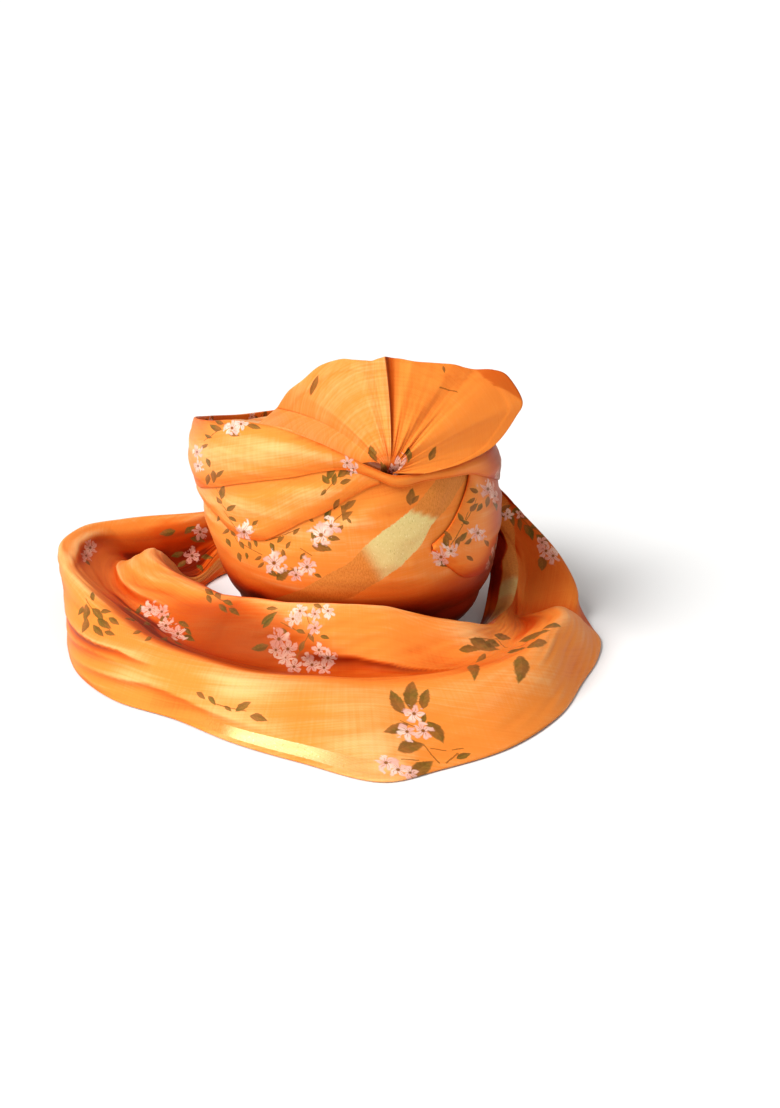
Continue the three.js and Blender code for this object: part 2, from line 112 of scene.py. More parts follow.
def new_material(name):
    """A material, its node tree and its shader's inputs."""
    material = bpy.data.materials.new(name)
    material.use_nodes = True
    tree = material.node_tree
    return material, tree, tree.nodes["Principled BSDF"].inputs


table_white, _, table_inputs = new_material("table_white")
table_inputs["Base Color"].default_value = linear(243, 243, 242)
table_inputs["Roughness"].default_value = TABLE_ROUGHNESS
deselect()
bpy.ops.mesh.primitive_plane_add(size=TABLE_SIZE, location=TABLE_MIDDLE)
table = bpy.context.object
table.name = "table_top"
table.data.materials.append(table_white)

world = bpy.data.worlds.new("studio")
bpy.context.scene.world = world
world.use_nodes = True
world.node_tree.nodes["Background"].inputs["Color"].default_value = AMBIENT_COLOUR
world.node_tree.nodes["Background"].inputs["Strength"].default_value = AMBIENT
bpy.context.scene.view_settings.view_transform = "Standard"


def far_light(name, place, strength, spread):
    """A light so far off that it reaches the whole table alike, as soft as it is wide."""
    data = bpy.data.lights.new(name, "SUN")
    data.energy = strength
    data.angle = math.radians(spread)
    light = bpy.data.objects.new(name, data)
    light.location = place
    light.rotation_euler = (-Vector(place)).to_track_quat("-Z", "Y").to_euler()
    bpy.context.scene.collection.objects.link(light)


for one_light in LIGHTS:
    far_light(*one_light)


# The wound crown core
# The bowl that the wearer's head goes into, wound from many turns of plain cotton. It is open
# underneath and closed by a sunken dome, and the wraps hide its outside.

HEAD_WIDTH, HEAD_LENGTH = 0.158, 0.200
CROWN_WIDTH, CROWN_DEPTH, CROWN_HEIGHT = 0.262, 0.288, 0.225
CROWN_WALL = 0.007
CROWN_SHOULDER = 0.011
DOME_HEIGHT = 0.176
DOME_WALL = 0.005
DOME_BEND = 2.2
RIM_STAND = 0.006
CORE_SEAT = 0.0012
WOUND_TURNS, WOUND_DEPTH = 34, 0.0006
CORE_ROUND = 0.8
CORE_TURNS = 217
COTTON_THREADS, COTTON_BUMP = 1500.0, 0.0006
SEEN_WAYS = 44
SEEN_EVERY = (5, 3)
SEEN_FROM, SEEN_REACH = 0.006, 0.16
SEAM = 1e-5
MM = 0.001

# rise, swell, lean
CROWN_FORM = [
    (0, 0, 0.04), (0.085, 0.21, 0.065), (0.14, 0.42, 0.09), (0.22, 0.6, 0.09),
    (0.31, 0.77, 0.076), (0.4, 0.88, 0.053), (0.48, 0.965, 0.038), (0.58, 1, 0.02),
    (0.72, 0.98, -0.01), (0.86, 0.9, -0.05), (1, 0.8, -0.07),
]

# The upper wrap's edges, as shares of the crown's height. Its top edge is the rim.
# turn, low, high
UPPER_ROWS = [
    (-90, 0.667, 0.876), (-74, 0.65, 0.915), (-56, 0.698, 0.956), (-42, 0.747, 0.99),
    (-27, 0.791, 1), (-15, 0.818, 0.985), (-4, 0.844, 0.95), (5, 0.848, 0.905),
    (13, 0.815, 0.858), (21, 0.772, 0.817), (36, 0.77, 0.81), (55, 0.745, 0.8),
    (70, 0.685, 0.785), (87, 0.62, 0.77), (135, 0.533, 0.755), (180, 0.507, 0.747),
    (225, 0.55, 0.765), (250, 0.613, 0.82),
]


def read(rows, column, at):
    """A column of a table at a place along its first column, on a smooth curve through it."""
    rows = np.asarray(rows, float)
    key, value = rows[:, 0], rows[:, column]
    last = len(key) - 1
    number = np.arange(last + 1)
    before, after = np.maximum(number - 1, 0), np.minimum(number + 1, last)
    slope = (value[after] - value[before]) / (key[after] - key[before])
    at = np.asarray(at, float)
    row = np.minimum(np.searchsorted(key[1:], at), last - 1)
    span = key[row + 1] - key[row]
    t = np.clip((at - key[row]) / span, 0, 1)
    return (value[row] * (2 * t**3 - 3 * t**2 + 1) + slope[row] * span * (t**3 - 2 * t**2 + t)
            + value[row + 1] * (3 * t**2 - 2 * t**3) + slope[row + 1] * span * (t**3 - t**2))


def lapped(rows):
    return [(row[0] + lap, *row[1:]) for lap in (-360, 0, 360) for row in rows]


def smooth(x, low, high):
    t = np.clip((x - low) / (high - low), 0, 1)
    return t * t * (3 - 2 * t)


UPPER_TABLE = lapped(UPPER_ROWS)


def rim(turn):
    return read(UPPER_TABLE, 2, turn) * CROWN_HEIGHT


def core_top(turn):
    return rim(turn) - RIM_STAND


def crown_size(z):
    rise = z / CROWN_HEIGHT
    swell = read(CROWN_FORM, 1, rise)
    lean = read(CROWN_FORM, 2, rise) * CROWN_WIDTH / 2
    base_width, base_depth = HEAD_WIDTH / 2 + CROWN_WALL, HEAD_LENGTH / 2 + CROWN_WALL
    half_width = base_width + (CROWN_WIDTH / 2 - base_width) * swell
    half_depth = base_depth + (CROWN_DEPTH / 2 - base_depth) * swell
    return lean, half_width, half_depth


def crown_point(turn, z, inset=0.0):
    turn, z = np.broadcast_arrays(np.asarray(turn, float), np.asarray(z, float))
    lean, half_width, half_depth = crown_size(z)
    angle = np.radians(turn)
    x = lean + (half_width - inset) * np.sin(angle)
    y = -(half_depth - inset) * np.cos(angle)
    return np.stack([x, y, z], -1) + AXIS


def unit(v):
    return v / np.maximum(np.linalg.norm(v, axis=-1, keepdims=True), 1e-12)


def crown_normal(turn, z):
    across = crown_point(turn + 1, z) - crown_point(turn - 1, z)
    up = crown_point(turn, z + MM) - crown_point(turn, z - MM)
    return unit(np.cross(across, up))


def dome_point(turn, share, drop=0.0):
    edge = crown_point(turn, core_top(turn), CROWN_SHOULDER)
    middle = AXIS + [crown_size(DOME_HEIGHT)[0], 0, DOME_HEIGHT]
    point = middle + (edge - middle) * np.asarray(share)[..., None]
    point[..., 2] = DOME_HEIGHT + (edge[..., 2] - DOME_HEIGHT) * share**DOME_BEND - drop
    return point


solid_points, solid_faces = [], []
for node in frame["nodes"].values():
    first = len(solid_points)
    solid_points += [tuple(v.co) for v in node.data.vertices]
    solid_faces += [tuple(first + n for n in face.vertices) for face in node.data.polygons]
SOLIDS = BVHTree.FromPolygons(solid_points, solid_faces)
# Directions spread evenly over a ball
way_turns = np.arange(SEEN_WAYS) * math.pi * (3 - math.sqrt(5))
way_heights = 1 - 2 * (np.arange(SEEN_WAYS) + 0.5) / SEEN_WAYS
way_rounds = np.sqrt(1 - way_heights**2)
ALL_WAYS = np.stack([way_rounds * np.cos(way_turns), way_rounds * np.sin(way_turns),
                     way_heights], 1)


def surface_normal(points):
    return unit(np.cross(np.gradient(points, axis=0), np.gradient(points, axis=1)))


def open_share(points):
    """How much of the room each point of a sheet faces freely, from 0 deep between the folds
    and the wraps to 1 in the open."""
    rows, columns = (np.unique(np.append(np.arange(0, size, step), size - 1))
                     for size, step in zip(points.shape, SEEN_EVERY))
    normal = surface_normal(points)
    coarse = np.zeros((len(rows), len(columns)))
    for a, i in enumerate(rows):
        for b, j in enumerate(columns):
            facing = ALL_WAYS @ normal[i, j]
            start = Vector(points[i, j] + normal[i, j] * SEEN_FROM)
            free = total = 0.0
            for way, weight in zip(ALL_WAYS[facing > 0.1], facing[facing > 0.1]):
                total += weight
                if SOLIDS.ray_cast(start, Vector(way), SEEN_REACH)[0] is None:
                    free += weight
            coarse[a, b] = free / max(total, 1e-6)
    long = np.stack([np.interp(np.arange(points.shape[0]), rows, coarse[:, b])
                     for b in range(len(columns))], 1)
    return np.stack([np.interp(np.arange(points.shape[1]), columns, row) for row in long])


def waves(along, across, seed, count, long_turns, wide):
    """Soft uneven folds that run along a band: a seeded sum of waves, closed round the crown."""
    draw = np.random.RandomState(seed)
    total = np.zeros(np.broadcast(along, across).shape)
    for _ in range(count):
        turns = draw.randint(0, long_turns + 1)
        wave = draw.uniform(0.7, 1.5) * 2 * math.pi / wide
        drift = draw.uniform(0, 2 * math.pi)
        total += np.sin(turns * 2 * math.pi * along / 360 + wave * across + drift)
    return total / math.sqrt(count)


def grid_piece(name, points):
    """A sheet of square faces over a grid of points, first direction by second direction."""
    long, wide = points.shape[0] - 1, points.shape[1] - 1
    deselect()
    bpy.ops.mesh.primitive_grid_add(x_subdivisions=long, y_subdivisions=wide, size=2,
                                    calc_uvs=False)
    piece = bpy.context.object
    piece.name = name
    piece.data.name = name
    flat = np.zeros(len(piece.data.vertices) * 3)
    piece.data.vertices.foreach_get("co", flat)
    flat = flat.reshape(-1, 3)
    i = np.rint((flat[:, 0] + 1) / 2 * long).astype(int)
    j = np.rint((flat[:, 1] + 1) / 2 * wide).astype(int)
    piece.data.vertices.foreach_set("co", points[i, j].ravel())
    piece.location = (0, 0, 0)
    piece.data.update()
    return piece, i, j


def corners(piece):
    order = np.zeros(len(piece.data.loops), np.int32)
    piece.data.loops.foreach_get("vertex_index", order)
    return order


def write_map(piece, name, values):
    layer = piece.data.uv_layers.new(name=name)
    layer.data.foreach_set("uv", np.ascontiguousarray(values, np.float32).ravel())


def write_value(piece, name, values):
    layer = piece.data.attributes.new(name, "FLOAT", "POINT")
    layer.data.foreach_set("value", np.asarray(values, np.float32).ravel())


def close_seams(piece):
    select_only(piece)
    bpy.ops.object.mode_set(mode="EDIT")
    bpy.ops.mesh.select_all(action="SELECT")
    bpy.ops.mesh.remove_doubles(threshold=SEAM)
    bpy.ops.object.mode_set(mode="OBJECT")


def finish_sheet(piece, thickness, material, offset=-1.0):
    """Gives a sheet its cloth's thickness and finish, and fixes it to the turban."""
    select_only(piece)
    if thickness:
        wall = piece.modifiers.new("cloth", "SOLIDIFY")
        wall.thickness = thickness
        wall.offset = offset
        bpy.ops.object.modifier_apply(modifier=wall.name)
    bpy.ops.object.shade_smooth()
    piece.data.materials.append(material)
    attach(piece, "root")


def feed(tree, inputs, values):
    """Gives inputs of a node numbers or colours, or links them to what works those out."""
    for title, value in values.items():
        if isinstance(value, Value):
            tree.links.new(value.output, inputs[title])
        else:
            inputs[title].default_value = value


def new_value(tree, kind, output, inputs=None, **settings):
    """What a new node of a kind puts out."""
    node = tree.nodes.new("ShaderNode" + kind)
    for title, setting in settings.items():
        setattr(node, title, setting)
    feed(tree, node.inputs, inputs or {})
    return Value(tree, node.outputs[output])


def worked_out(tree, operation, *values):
    return new_value(tree, "Math", 0, dict(enumerate(values)), operation=operation)


class Value:
    """A number or a colour that a material's nodes work out, so that sums read as sums."""

    def __init__(self, tree, output):
        self.tree, self.output = tree, output

    def __add__(self, other):
        return worked_out(self.tree, "ADD", self, other)

    def __sub__(self, other):
        return worked_out(self.tree, "SUBTRACT", self, other)

    def __rsub__(self, other):
        return worked_out(self.tree, "SUBTRACT", other, self)

    def __mul__(self, other):
        return worked_out(self.tree, "MULTIPLY", self, other)

    def __abs__(self):
        return worked_out(self.tree, "ABSOLUTE", self)

    __radd__, __rmul__ = __add__, __mul__

    def ramp(self, low, high, to_low=0.0, to_high=1.0):
        """A smooth change from one number to another while this one goes from low to high."""
        return new_value(self.tree, "MapRange", "Result", {
            "Value": self, "From Min": low, "From Max": high, "To Min": to_low,
            "To Max": to_high}, interpolation_type="SMOOTHSTEP")

    def parts(self):
        node = self.tree.nodes.new("ShaderNodeSeparateXYZ")
        feed(self.tree, node.inputs, {0: self})
        return [Value(self.tree, output) for output in node.outputs]


def mix(share, first, second, blend="MIX"):
    return new_value(share.tree, "Mix", 2, {0: share, 6: first, 7: second},
                     data_type="RGBA", blend_type=blend)


def noise(place, scale, detail, rough=0.5):
    """Uneven patches from 0 to 1, finer where the scale is larger."""
    tree = place.tree
    scaled = new_value(tree, "Mapping", "Vector", {"Vector": place, "Scale": scale})
    return new_value(tree, "TexNoise", "Fac", {
        "Vector": scaled, "Scale": 1.0, "Detail": detail, "Roughness": rough})


def bumped(height, strength, distance):
    return new_value(height.tree, "Bump", "Normal", {
        "Strength": strength, "Distance": distance, "Height": height})


def map_value(tree, name):
    return new_value(tree, "UVMap", "UV", uv_map=name)


def point_value(tree, name):
    return new_value(tree, "Attribute", "Fac", attribute_name=name)


def new_group(name, inputs, work):
    """A node group. The work takes the tree and its inputs, and gives its outputs by name."""
    group = bpy.data.node_groups.new(name, "ShaderNodeTree")
    for title, kind in inputs.items():
        group.interface.new_socket(title, in_out="INPUT", socket_type="NodeSocket" + kind)
    start = group.nodes.new("NodeGroupInput")
    results = work(group, *[Value(group, start.outputs[title]) for title in inputs])
    for title in results:
        group.interface.new_socket(title, in_out="OUTPUT", socket_type="NodeSocketFloat")
    feed(group, group.nodes.new("NodeGroupOutput").inputs, results)
    return group


def placed(tree, group, **inputs):
    node = tree.nodes.new("ShaderNodeGroup")
    node.node_tree = group
    feed(tree, node.inputs, inputs)
    return {output.name: Value(tree, output) for output in node.outputs}


def weave(group, cloth, threads):
    """Threads that cross on a cloth map in metres: a height, and streaks of uneven yarn."""
    warp, weft = [worked_out(group, "SINE", part * threads) for part in cloth.parts()[:2]]
    streak = noise(cloth, (14, 520, 1), 3) * 0.65 + noise(cloth, (520, 14, 1), 3) * 0.35
    return {"Height": warp * weft * 0.35 + streak, "Streak": streak}


WEAVE = new_group("woven_threads", {"Cloth": "Vector", "Threads": "Float"}, weave)


def core_material():
    material, tree, inputs = new_material("wound_cotton")
    cloth = map_value(tree, "cloth")
    woven = placed(tree, WEAVE, Cloth=cloth, Threads=COTTON_THREADS)
    layers = noise(cloth, (3, 60, 1), 4)
    patches = noise(new_value(tree, "TexCoord", "Object"), (18, 18, 18), 3)
    shade = layers * 0.6 + patches * 0.4
    colour = mix(shade.ramp(0.35, 0.65), linear(196, 104, 34), linear(232, 146, 66))
    colour = mix(woven["Streak"] * 0.35, colour, linear(246, 178, 104))
    feed(tree, inputs, {"Base Color": colour, "Roughness": 0.85,
                        "Normal": bumped(woven["Height"], 0.35, COTTON_BUMP)})
    return material


def core_points():
    """From the outside of the dome over the shoulder, down, under and up to its inside."""
    turns = np.linspace(0, 360, CORE_TURNS)
    side_top = core_top(turns) - CROWN_SHOULDER
    rows = [dome_point(turns, np.full_like(turns, share)) for share in np.linspace(0, 1, 15)]
    for angle in np.radians(np.linspace(80, 5, 8)):
        point = crown_point(turns, side_top, CROWN_SHOULDER * (1 - math.cos(angle)))
        point[:, 2] += CROWN_SHOULDER * math.sin(angle)
        rows.append(point)
    for share in np.linspace(1, 0, 46):
        rows.append(crown_point(turns, share * (side_top - CORE_SEAT) + CORE_SEAT))
    for angle in np.radians(np.linspace(20, 160, 6)):
        point = crown_point(turns, CORE_SEAT, CROWN_WALL * (1 - math.cos(angle)) / 2)
        point[:, 2] -= CORE_SEAT * math.sin(angle)
        rows.append(point)
    inside_top = dome_point(turns, np.ones_like(turns), DOME_WALL)[:, 2] - CROWN_SHOULDER / 2
    for share in np.linspace(0, 1, 40):
        z = CORE_SEAT + share * (inside_top - CORE_SEAT)
        wound = np.abs(np.sin(share * WOUND_TURNS + 1.5 * np.sin(np.radians(turns))))
        rows.append(crown_point(turns, z, CROWN_WALL - WOUND_DEPTH * wound))
    for share in np.linspace(0.93, 0, 13):
        rows.append(dome_point(turns, np.full_like(turns, share), DOME_WALL))
    return np.stack(rows, 1)[:, ::-1]


core_grid = core_points()
core, core_i, core_j = grid_piece("wound_core", core_grid)
core_along = np.linspace(0, CORE_ROUND, core_grid.shape[0])
core_steps = np.linalg.norm(np.diff(core_grid[40], axis=0), axis=-1)
core_across = np.concatenate([[0], np.cumsum(core_steps)])
core_map = np.stack([core_along[core_i], core_across[core_j]], -1)
write_map(core, "cloth", core_map[corners(core)])
close_seams(core)
finish_sheet(core, 0, core_material())
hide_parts("crown_core")


# The wraps
# Five bands of light silky cloth wound over the core, one over the other, each folded over at
# both edges. The floral print is on all of them, and a woven gold stripe crosses one at the front.

WRAP_CLOTH = 0.0024
WRAP_GAP = 0.0006
WRAP_REST = 0.008
WRAP_EASE = 0.024
WRAP_TUCK = 0.008
BRIM_LIFT = 0.003
STATION_TURN = 8
CLOTH = 0.0006
BELLY, CREASE, FINE_CREASE = 0.0016, 0.0003, 0.0001
FOLD_MEAN, FOLD_RANGE = 0.0012, 0.0034
FOLD_SHARE = 0.7
MEAN_RADIUS = 0.135
EDGE_STAND, EDGE_STAND_AT_FRONT = 0.42, 0.08
EDGE_REACH = 0.011
PRESS_REST, PRESS_EASE = 0.002, 0.007
CREASE_WIDTH, FINE_CREASE_WIDTH = 0.017, 0.007
HEM = 0.010
ARC_STEPS, FACE_STEPS = 7, 34

# turn, low
MIDDLE_ROWS = [
    (-180, 0.391), (-150, 0.436), (-120, 0.498), (-90, 0.56), (-70, 0.591), (-58, 0.578),
    (-46, 0.535), (-37, 0.538), (-31, 0.551), (-22, 0.6), (-14, 0.649), (-8, 0.676),
    (8, 0.765), (16, 0.79),
]
# turn, low, high
SIDE_ROWS = [
    (32, 0.5, 0.53), (40, 0.415, 0.58), (48, 0.35, 0.66), (56, 0.33, 0.76), (64, 0.32, 0.9),
    (90, 0.32, 0.9), (150, 0.338, 0.9), (200, 0.356, 0.9),
]
# turn, low
GOLD_ROWS = [
    (-90, 0.222), (-45, 0.204), (0, 0.196), (45, 0.231), (90, 0.196), (135, 0.213),
    (180, 0.231), (225, 0.222),
]
GOLD_TABLE = lapped(GOLD_ROWS)


def tucked(turn, depth):
    low = read(UPPER_TABLE, 1, turn) * CROWN_HEIGHT
    return np.minimum(low + depth * WRAP_TUCK, rim(turn) - WRAP_CLOTH - WRAP_GAP)


def gold_low(turn):
    return read(GOLD_TABLE, 1, turn) * CROWN_HEIGHT


def brim_edges(turn):
    return np.full_like(turn, BRIM_LIFT), gold_low(turn) + WRAP_TUCK


def gold_edges(turn):
    return gold_low(turn), tucked(turn, 3)


def side_edges(turn):
    low = read(SIDE_ROWS, 1, turn) * CROWN_HEIGHT
    return low, np.minimum(read(SIDE_ROWS, 2, turn) * CROWN_HEIGHT, tucked(turn, 2))


def middle_edges(turn):
    return read(MIDDLE_ROWS, 1, turn) * CROWN_HEIGHT, tucked(turn, 1)


def upper_edges(turn):
    return read(UPPER_TABLE, 1, turn) * CROWN_HEIGHT, rim(turn)


# name, edges, first turn and last turn
WRAPS = [
    ("brim_wrap", brim_edges, None, None),
    ("gold_wrap", gold_edges, None, None),
    ("side_wrap", side_edges, 32, 200),
    ("middle_wrap", middle_edges, -176, 16),
    ("upper_wrap", upper_edges, None, None),
]


def lift(wrap, turn, z, rest=WRAP_REST, ease=WRAP_EASE):
    """How far a wrap lifts what lies on it: fully up to a rest past its edges, less from there."""
    _, edges, first, last = wrap
    best = np.zeros(np.broadcast(turn, z).shape)
    for step in (-STATION_TURN, 0, STATION_TURN):
        place = turn + step
        past_end = np.zeros_like(place)
        if first is not None:
            place = first + np.mod(place - first, 360)
            past_last, past_first = place - last, first + 360 - place
            past_end = np.where(place > last, np.minimum(past_last, past_first), 0)
            nearer = np.where(past_last < past_first, last, first)
            place = np.where(place > last, nearer, place)
        low, high = edges(place)
        past = np.maximum(np.maximum(low - z, z - high), 0)
        share = (1 - smooth(past, rest, rest + ease)) * (1 - smooth(past_end, 0, STATION_TURN))
        best = np.maximum(best, share)
    return best


def stack_under(number, turn, z):
    turn, z = np.broadcast_arrays(np.asarray(turn, float), np.asarray(z, float))
    total = np.zeros(turn.shape)
    for wrap in WRAPS[:number]:
        total = total + lift(wrap, turn, z) * (WRAP_CLOTH + WRAP_GAP)
    return total


def ridge(turn, z, points, width, height):
    """A fold along a line of (turn, mm) points, that dies out at its two ends."""
    points = np.asarray(points, float)
    x = np.radians(turn) * MEAN_RADIUS
    line = np.stack([np.radians(points[:, 0]) * MEAN_RADIUS, points[:, 1] * MM], -1)
    best = np.full(x.shape, 1e9)
    where = np.zeros(x.shape)
    lengths = np.linalg.norm(np.diff(line, axis=0), axis=1)
    run = np.concatenate([[0], np.cumsum(lengths)])
    for a, b, start, size in zip(line[:-1], line[1:], run, lengths):
        t = np.clip(((x - a[0]) * (b[0] - a[0]) + (z - a[1]) * (b[1] - a[1])) / size**2, 0, 1)
        away = np.hypot(x - a[0] - t * (b[0] - a[0]), z - a[1] - t * (b[1] - a[1]))
        near = away < best
        best = np.where(near, away, best)
        where = np.where(near, (start + t * size) / run[-1], where)
    fade = np.sin(np.pi * np.clip(where, 0.02, 0.98)) ** 0.6
    return height * MM * fade * np.exp(-(best / (width * MM)) ** 2)


# Folds of each wrap: lines of (turn, height in mm), how wide and how high they stand, in mm
WRAP_FOLDS = {
    "brim_wrap": [
        ([(-60, 12), (-20, 20), (30, 16)], 5, 1.2),
        ([(-70, 34), (-10, 30), (40, 36)], 6, 1.0),
        ([(60, 20), (120, 26), (200, 18)], 6, 1.4),
        ([(200, 34), (250, 24), (290, 30)], 6, 1.4),
    ],
    "gold_wrap": [
        ([(-60, 100), (-30, 88), (0, 72), (30, 62)], 7, 1.3),
        ([(-56, 76), (-20, 62), (25, 54)], 5, 1.2),
        ([(-20, 128), (5, 150), (25, 172)], 8, 1.0),
        ([(34, 158), (42, 178)], 5, 1.6),
        ([(48, 160), (54, 178)], 4, 1.7),
        ([(58, 158), (63, 176)], 4.5, 1.5),
        ([(-2, 96), (20, 112), (40, 142)], 6, 0.8),
        ([(20, 74), (40, 88), (56, 96)], 6, 1.2),
    ],
    "side_wrap": [
        ([(44, 96), (70, 104), (110, 100), (160, 96)], 7, 1.6),
        ([(60, 128), (90, 124), (130, 116), (180, 110)], 6, 1.4),
        ([(50, 142), (60, 160), (66, 172)], 5, 1.6),
        ([(80, 84), (120, 86), (170, 90)], 5, 1.2),
    ],
    "middle_wrap": [
        ([(-80, 150), (-50, 146), (-25, 152), (0, 172)], 9, 1.4),
        ([(-60, 136), (-40, 130), (-24, 138), (-8, 158)], 6, 1.0),
        ([(-170, 104), (-130, 118), (-90, 134)], 6, 1.5),
        ([(-170, 92), (-120, 116), (-84, 130)], 4, 1.2),
        ([(-30, 164), (-8, 172), (8, 180)], 6, 0.9),
    ],
    "upper_wrap": [
        ([(-84, 182), (-56, 190), (-30, 200), (-8, 206)], 8, 1.4),
        ([(-90, 166), (-60, 172), (-30, 184), (0, 198)], 7, 0.9),
        ([(-60, 208), (-35, 215), (-12, 210), (6, 196)], 5, 1.2),
        ([(80, 152), (130, 146), (180, 140), (230, 148)], 8, 1.8),
        ([(100, 134), (150, 126), (210, 130), (250, 150)], 6, 1.5),
        ([(90, 164), (140, 160), (200, 156)], 5, 1.2),
    ],
}


def wrap_relief(number, turn, z, share):
    """How far the outer face stands proud of a plain band: a soft belly, folds and creases."""
    name = WRAPS[number][0]
    total = BELLY * np.sin(np.pi * share) ** 0.8
    for line, width, height in WRAP_FOLDS[name]:
        laps = [ridge(turn + lap, z, line, width, FOLD_SHARE * height) for lap in (-360, 0, 360)]
        total = total + np.maximum.reduce(laps)
    creases = waves(turn, z, 40 + number, 14, 5, CREASE_WIDTH)
    fine = waves(turn, z, 60 + number, 18, 16, FINE_CREASE_WIDTH)
    total = total + CREASE * creases + FINE_CREASE * fine
    # What lies over it presses it flat
    free = np.ones_like(total)
    for over in WRAPS[number + 1:]:
        free = free * (1 - lift(over, turn, z, PRESS_REST, PRESS_EASE))
    return total * free, total


def edge_stand(name, turn, past):
    """How much of its full thickness a wrap stands up by, near its lower edge."""
    at_edge = EDGE_STAND
    if name == "upper_wrap":
        place = np.mod(turn + 180, 360) - 180
        at_front = smooth(place, -52, -24) * (1 - smooth(place, 24, 44))
        at_edge = EDGE_STAND - (EDGE_STAND - EDGE_STAND_AT_FRONT) * at_front
    return at_edge + (1 - at_edge) * smooth(past, 0.0, EDGE_REACH)


def wrap_points(number):
    name, edges, first, last = WRAPS[number]
    closed = first is None
    turns = np.linspace(0, 360, 361) if closed else np.linspace(first, last, last - first + 1)
    low, high = edges(turns)
    radius = WRAP_CLOTH / 2
    tuck_low = np.minimum(HEM, (high - low) * 0.3)
    round_edge = [(radius * (1 - math.sin(angle)), radius * (1 - math.cos(angle)),
                   max(0.0, -math.cos(angle)) * 0.5) for angle in np.linspace(0, np.pi, ARC_STEPS)]
    # Along the cloth's width: up from the hidden hem, round the lower edge, up the face and back.
    # Each row: height, how far out, how far out its folds count, share of the width
    rows = [(low + radius + tuck_low * (1 - t), 0.0, 0.0, 0.0) for t in (0.0, 0.5)]
    rows += [(low + up, out, face, 0.0) for up, out, face in round_edge]
    rows += [(low + radius + (high - low - 2 * radius) * s, 2 * radius,
              min(1.0, 0.5 + 10 * min(s, 1 - s)), s) for s in np.linspace(0, 1, FACE_STEPS)[1:-1]]
    rows += [(high - up, out, face, 1.0) for up, out, face in round_edge[::-1]]
    rows += [(high - radius - tuck_low * (1 - t), 0.0, 0.0, 1.0) for t in (0.5, 0.0)]
    z = np.stack([row[0] for row in rows], 1)
    out, face, share = (np.array([row[n] for row in rows])[None, :] + 0 * z for n in (1, 2, 3))
    turn = turns[:, None] + 0 * z
    relief, full = wrap_relief(number, turn, z, share)
    out = out * edge_stand(name, turn, np.maximum(z - low[:, None] - radius, 0))
    reach = stack_under(number, turn, z) + WRAP_GAP + out + relief * face
    points = crown_point(turn, z) + crown_normal(turn, z) * reach[..., None]
    return points, turn, z, full, closed


def cloth_places(points):
    """Where each point lies on the flat cloth, in metres along and across it."""
    along = np.linalg.norm(np.diff(points, axis=0), axis=-1).mean(1)
    along = np.concatenate([[0], np.cumsum(along)])
    across = np.linalg.norm(np.diff(points, axis=1), axis=-1)
    across = np.concatenate([np.zeros((len(points), 1)), np.cumsum(across, axis=1)], 1)
    return np.stack([along[:, None] + 0 * across, across], -1)


def on_cloth(tree, points, places, x, y):
    """The place on the flat cloth that the camera sees at a point of its picture."""
    wide = points.shape[1] - 1
    ray = Vector(photo_ray(x, y))
    hit, normal, face, _ = tree.ray_cast(Vector(camera_place), ray)
    if hit is None or normal.dot(ray) > GRAZING:
        return None
    i, j = divmod(face, wide)
    start = points[i, j]
    sides = np.stack([points[i + 1, j] - start, points[i, j + 1] - start], 1)
    share, *_ = np.linalg.lstsq(sides, np.array(hit) - start, rcond=None)
    origin = places[i, j]
    return origin + share[0] * (places[i + 1, j] - origin) + share[1] * (places[i, j + 1] - origin)


PIXEL = 0.00093
# A side of a mark is measured this many pixels from its middle
NEAR = 1.5
GRAZING = -0.08
BLOOM_REACH = 1.1
LEAST_STRETCH, MOST_STRETCH = 0.7, 2.4


def mark_on_cloth(tree, points, places, kind, x0, y0, x1, y1, plump=1.0):
    """A mark's middle on the flat cloth and its two half sides there, from its two ends as the
    camera sees them. A blossom's middle is its first end."""
    x, y = (x0, y0) if kind == "bloom" else ((x0 + x1) / 2, (y0 + y1) / 2)
    middle = on_cloth(tree, points, places, x, y)
    if middle is None:
        return None
    sides = []
    for step in ((NEAR, 0), (0, NEAR)):
        ways = []
        for sign in (1, -1):
            other = on_cloth(tree, points, places, x + sign * step[0], y + sign * step[1])
            if other is not None:
                ways.append((other - middle) * sign / NEAR)
        if not ways:
            return None
        sides.append(min(ways, key=np.linalg.norm))
    turned, sizes, tilted = np.linalg.svd(np.stack(sides, 1))
    seen = turned @ np.diag(np.clip(sizes, LEAST_STRETCH * PIXEL, MOST_STRETCH * PIXEL)) @ tilted
    half = np.array([x1 - x0, y1 - y0]) * (BLOOM_REACH if kind == "bloom" else 0.5)
    side = np.array([-half[1], half[0]]) * plump
    return middle, np.stack([seen @ half, seen @ side], 1)


def flat_mark(kind, start, end):
    """The same for a mark that is placed on the flat cloth itself."""
    half = (end - start) * (1.0 if kind == "bloom" else 0.5)
    middle = start if kind == "bloom" else (start + end) / 2
    return middle, np.stack([half, [-half[1], half[0]]], 1)


LEAF_SHAPE = 0.44
STEM_HALF = 0.0006
EMPTY = -9.0
# How far past a mark's own edge its place on the map goes on
MARK_ROOM = 1.1
STEM_ENDS, STEM_SIDES = 1.05, 1.6
# kind: its maps, how narrow its marks are
PRINT_MAPS = {
    "leaf": (["leaf_a", "leaf_b", "leaf_c", "leaf_d"], 0.6),
    "bloom": (["bloom_a", "bloom_b"], 1.0),
    "stem": (["stem"], 1.0),
}


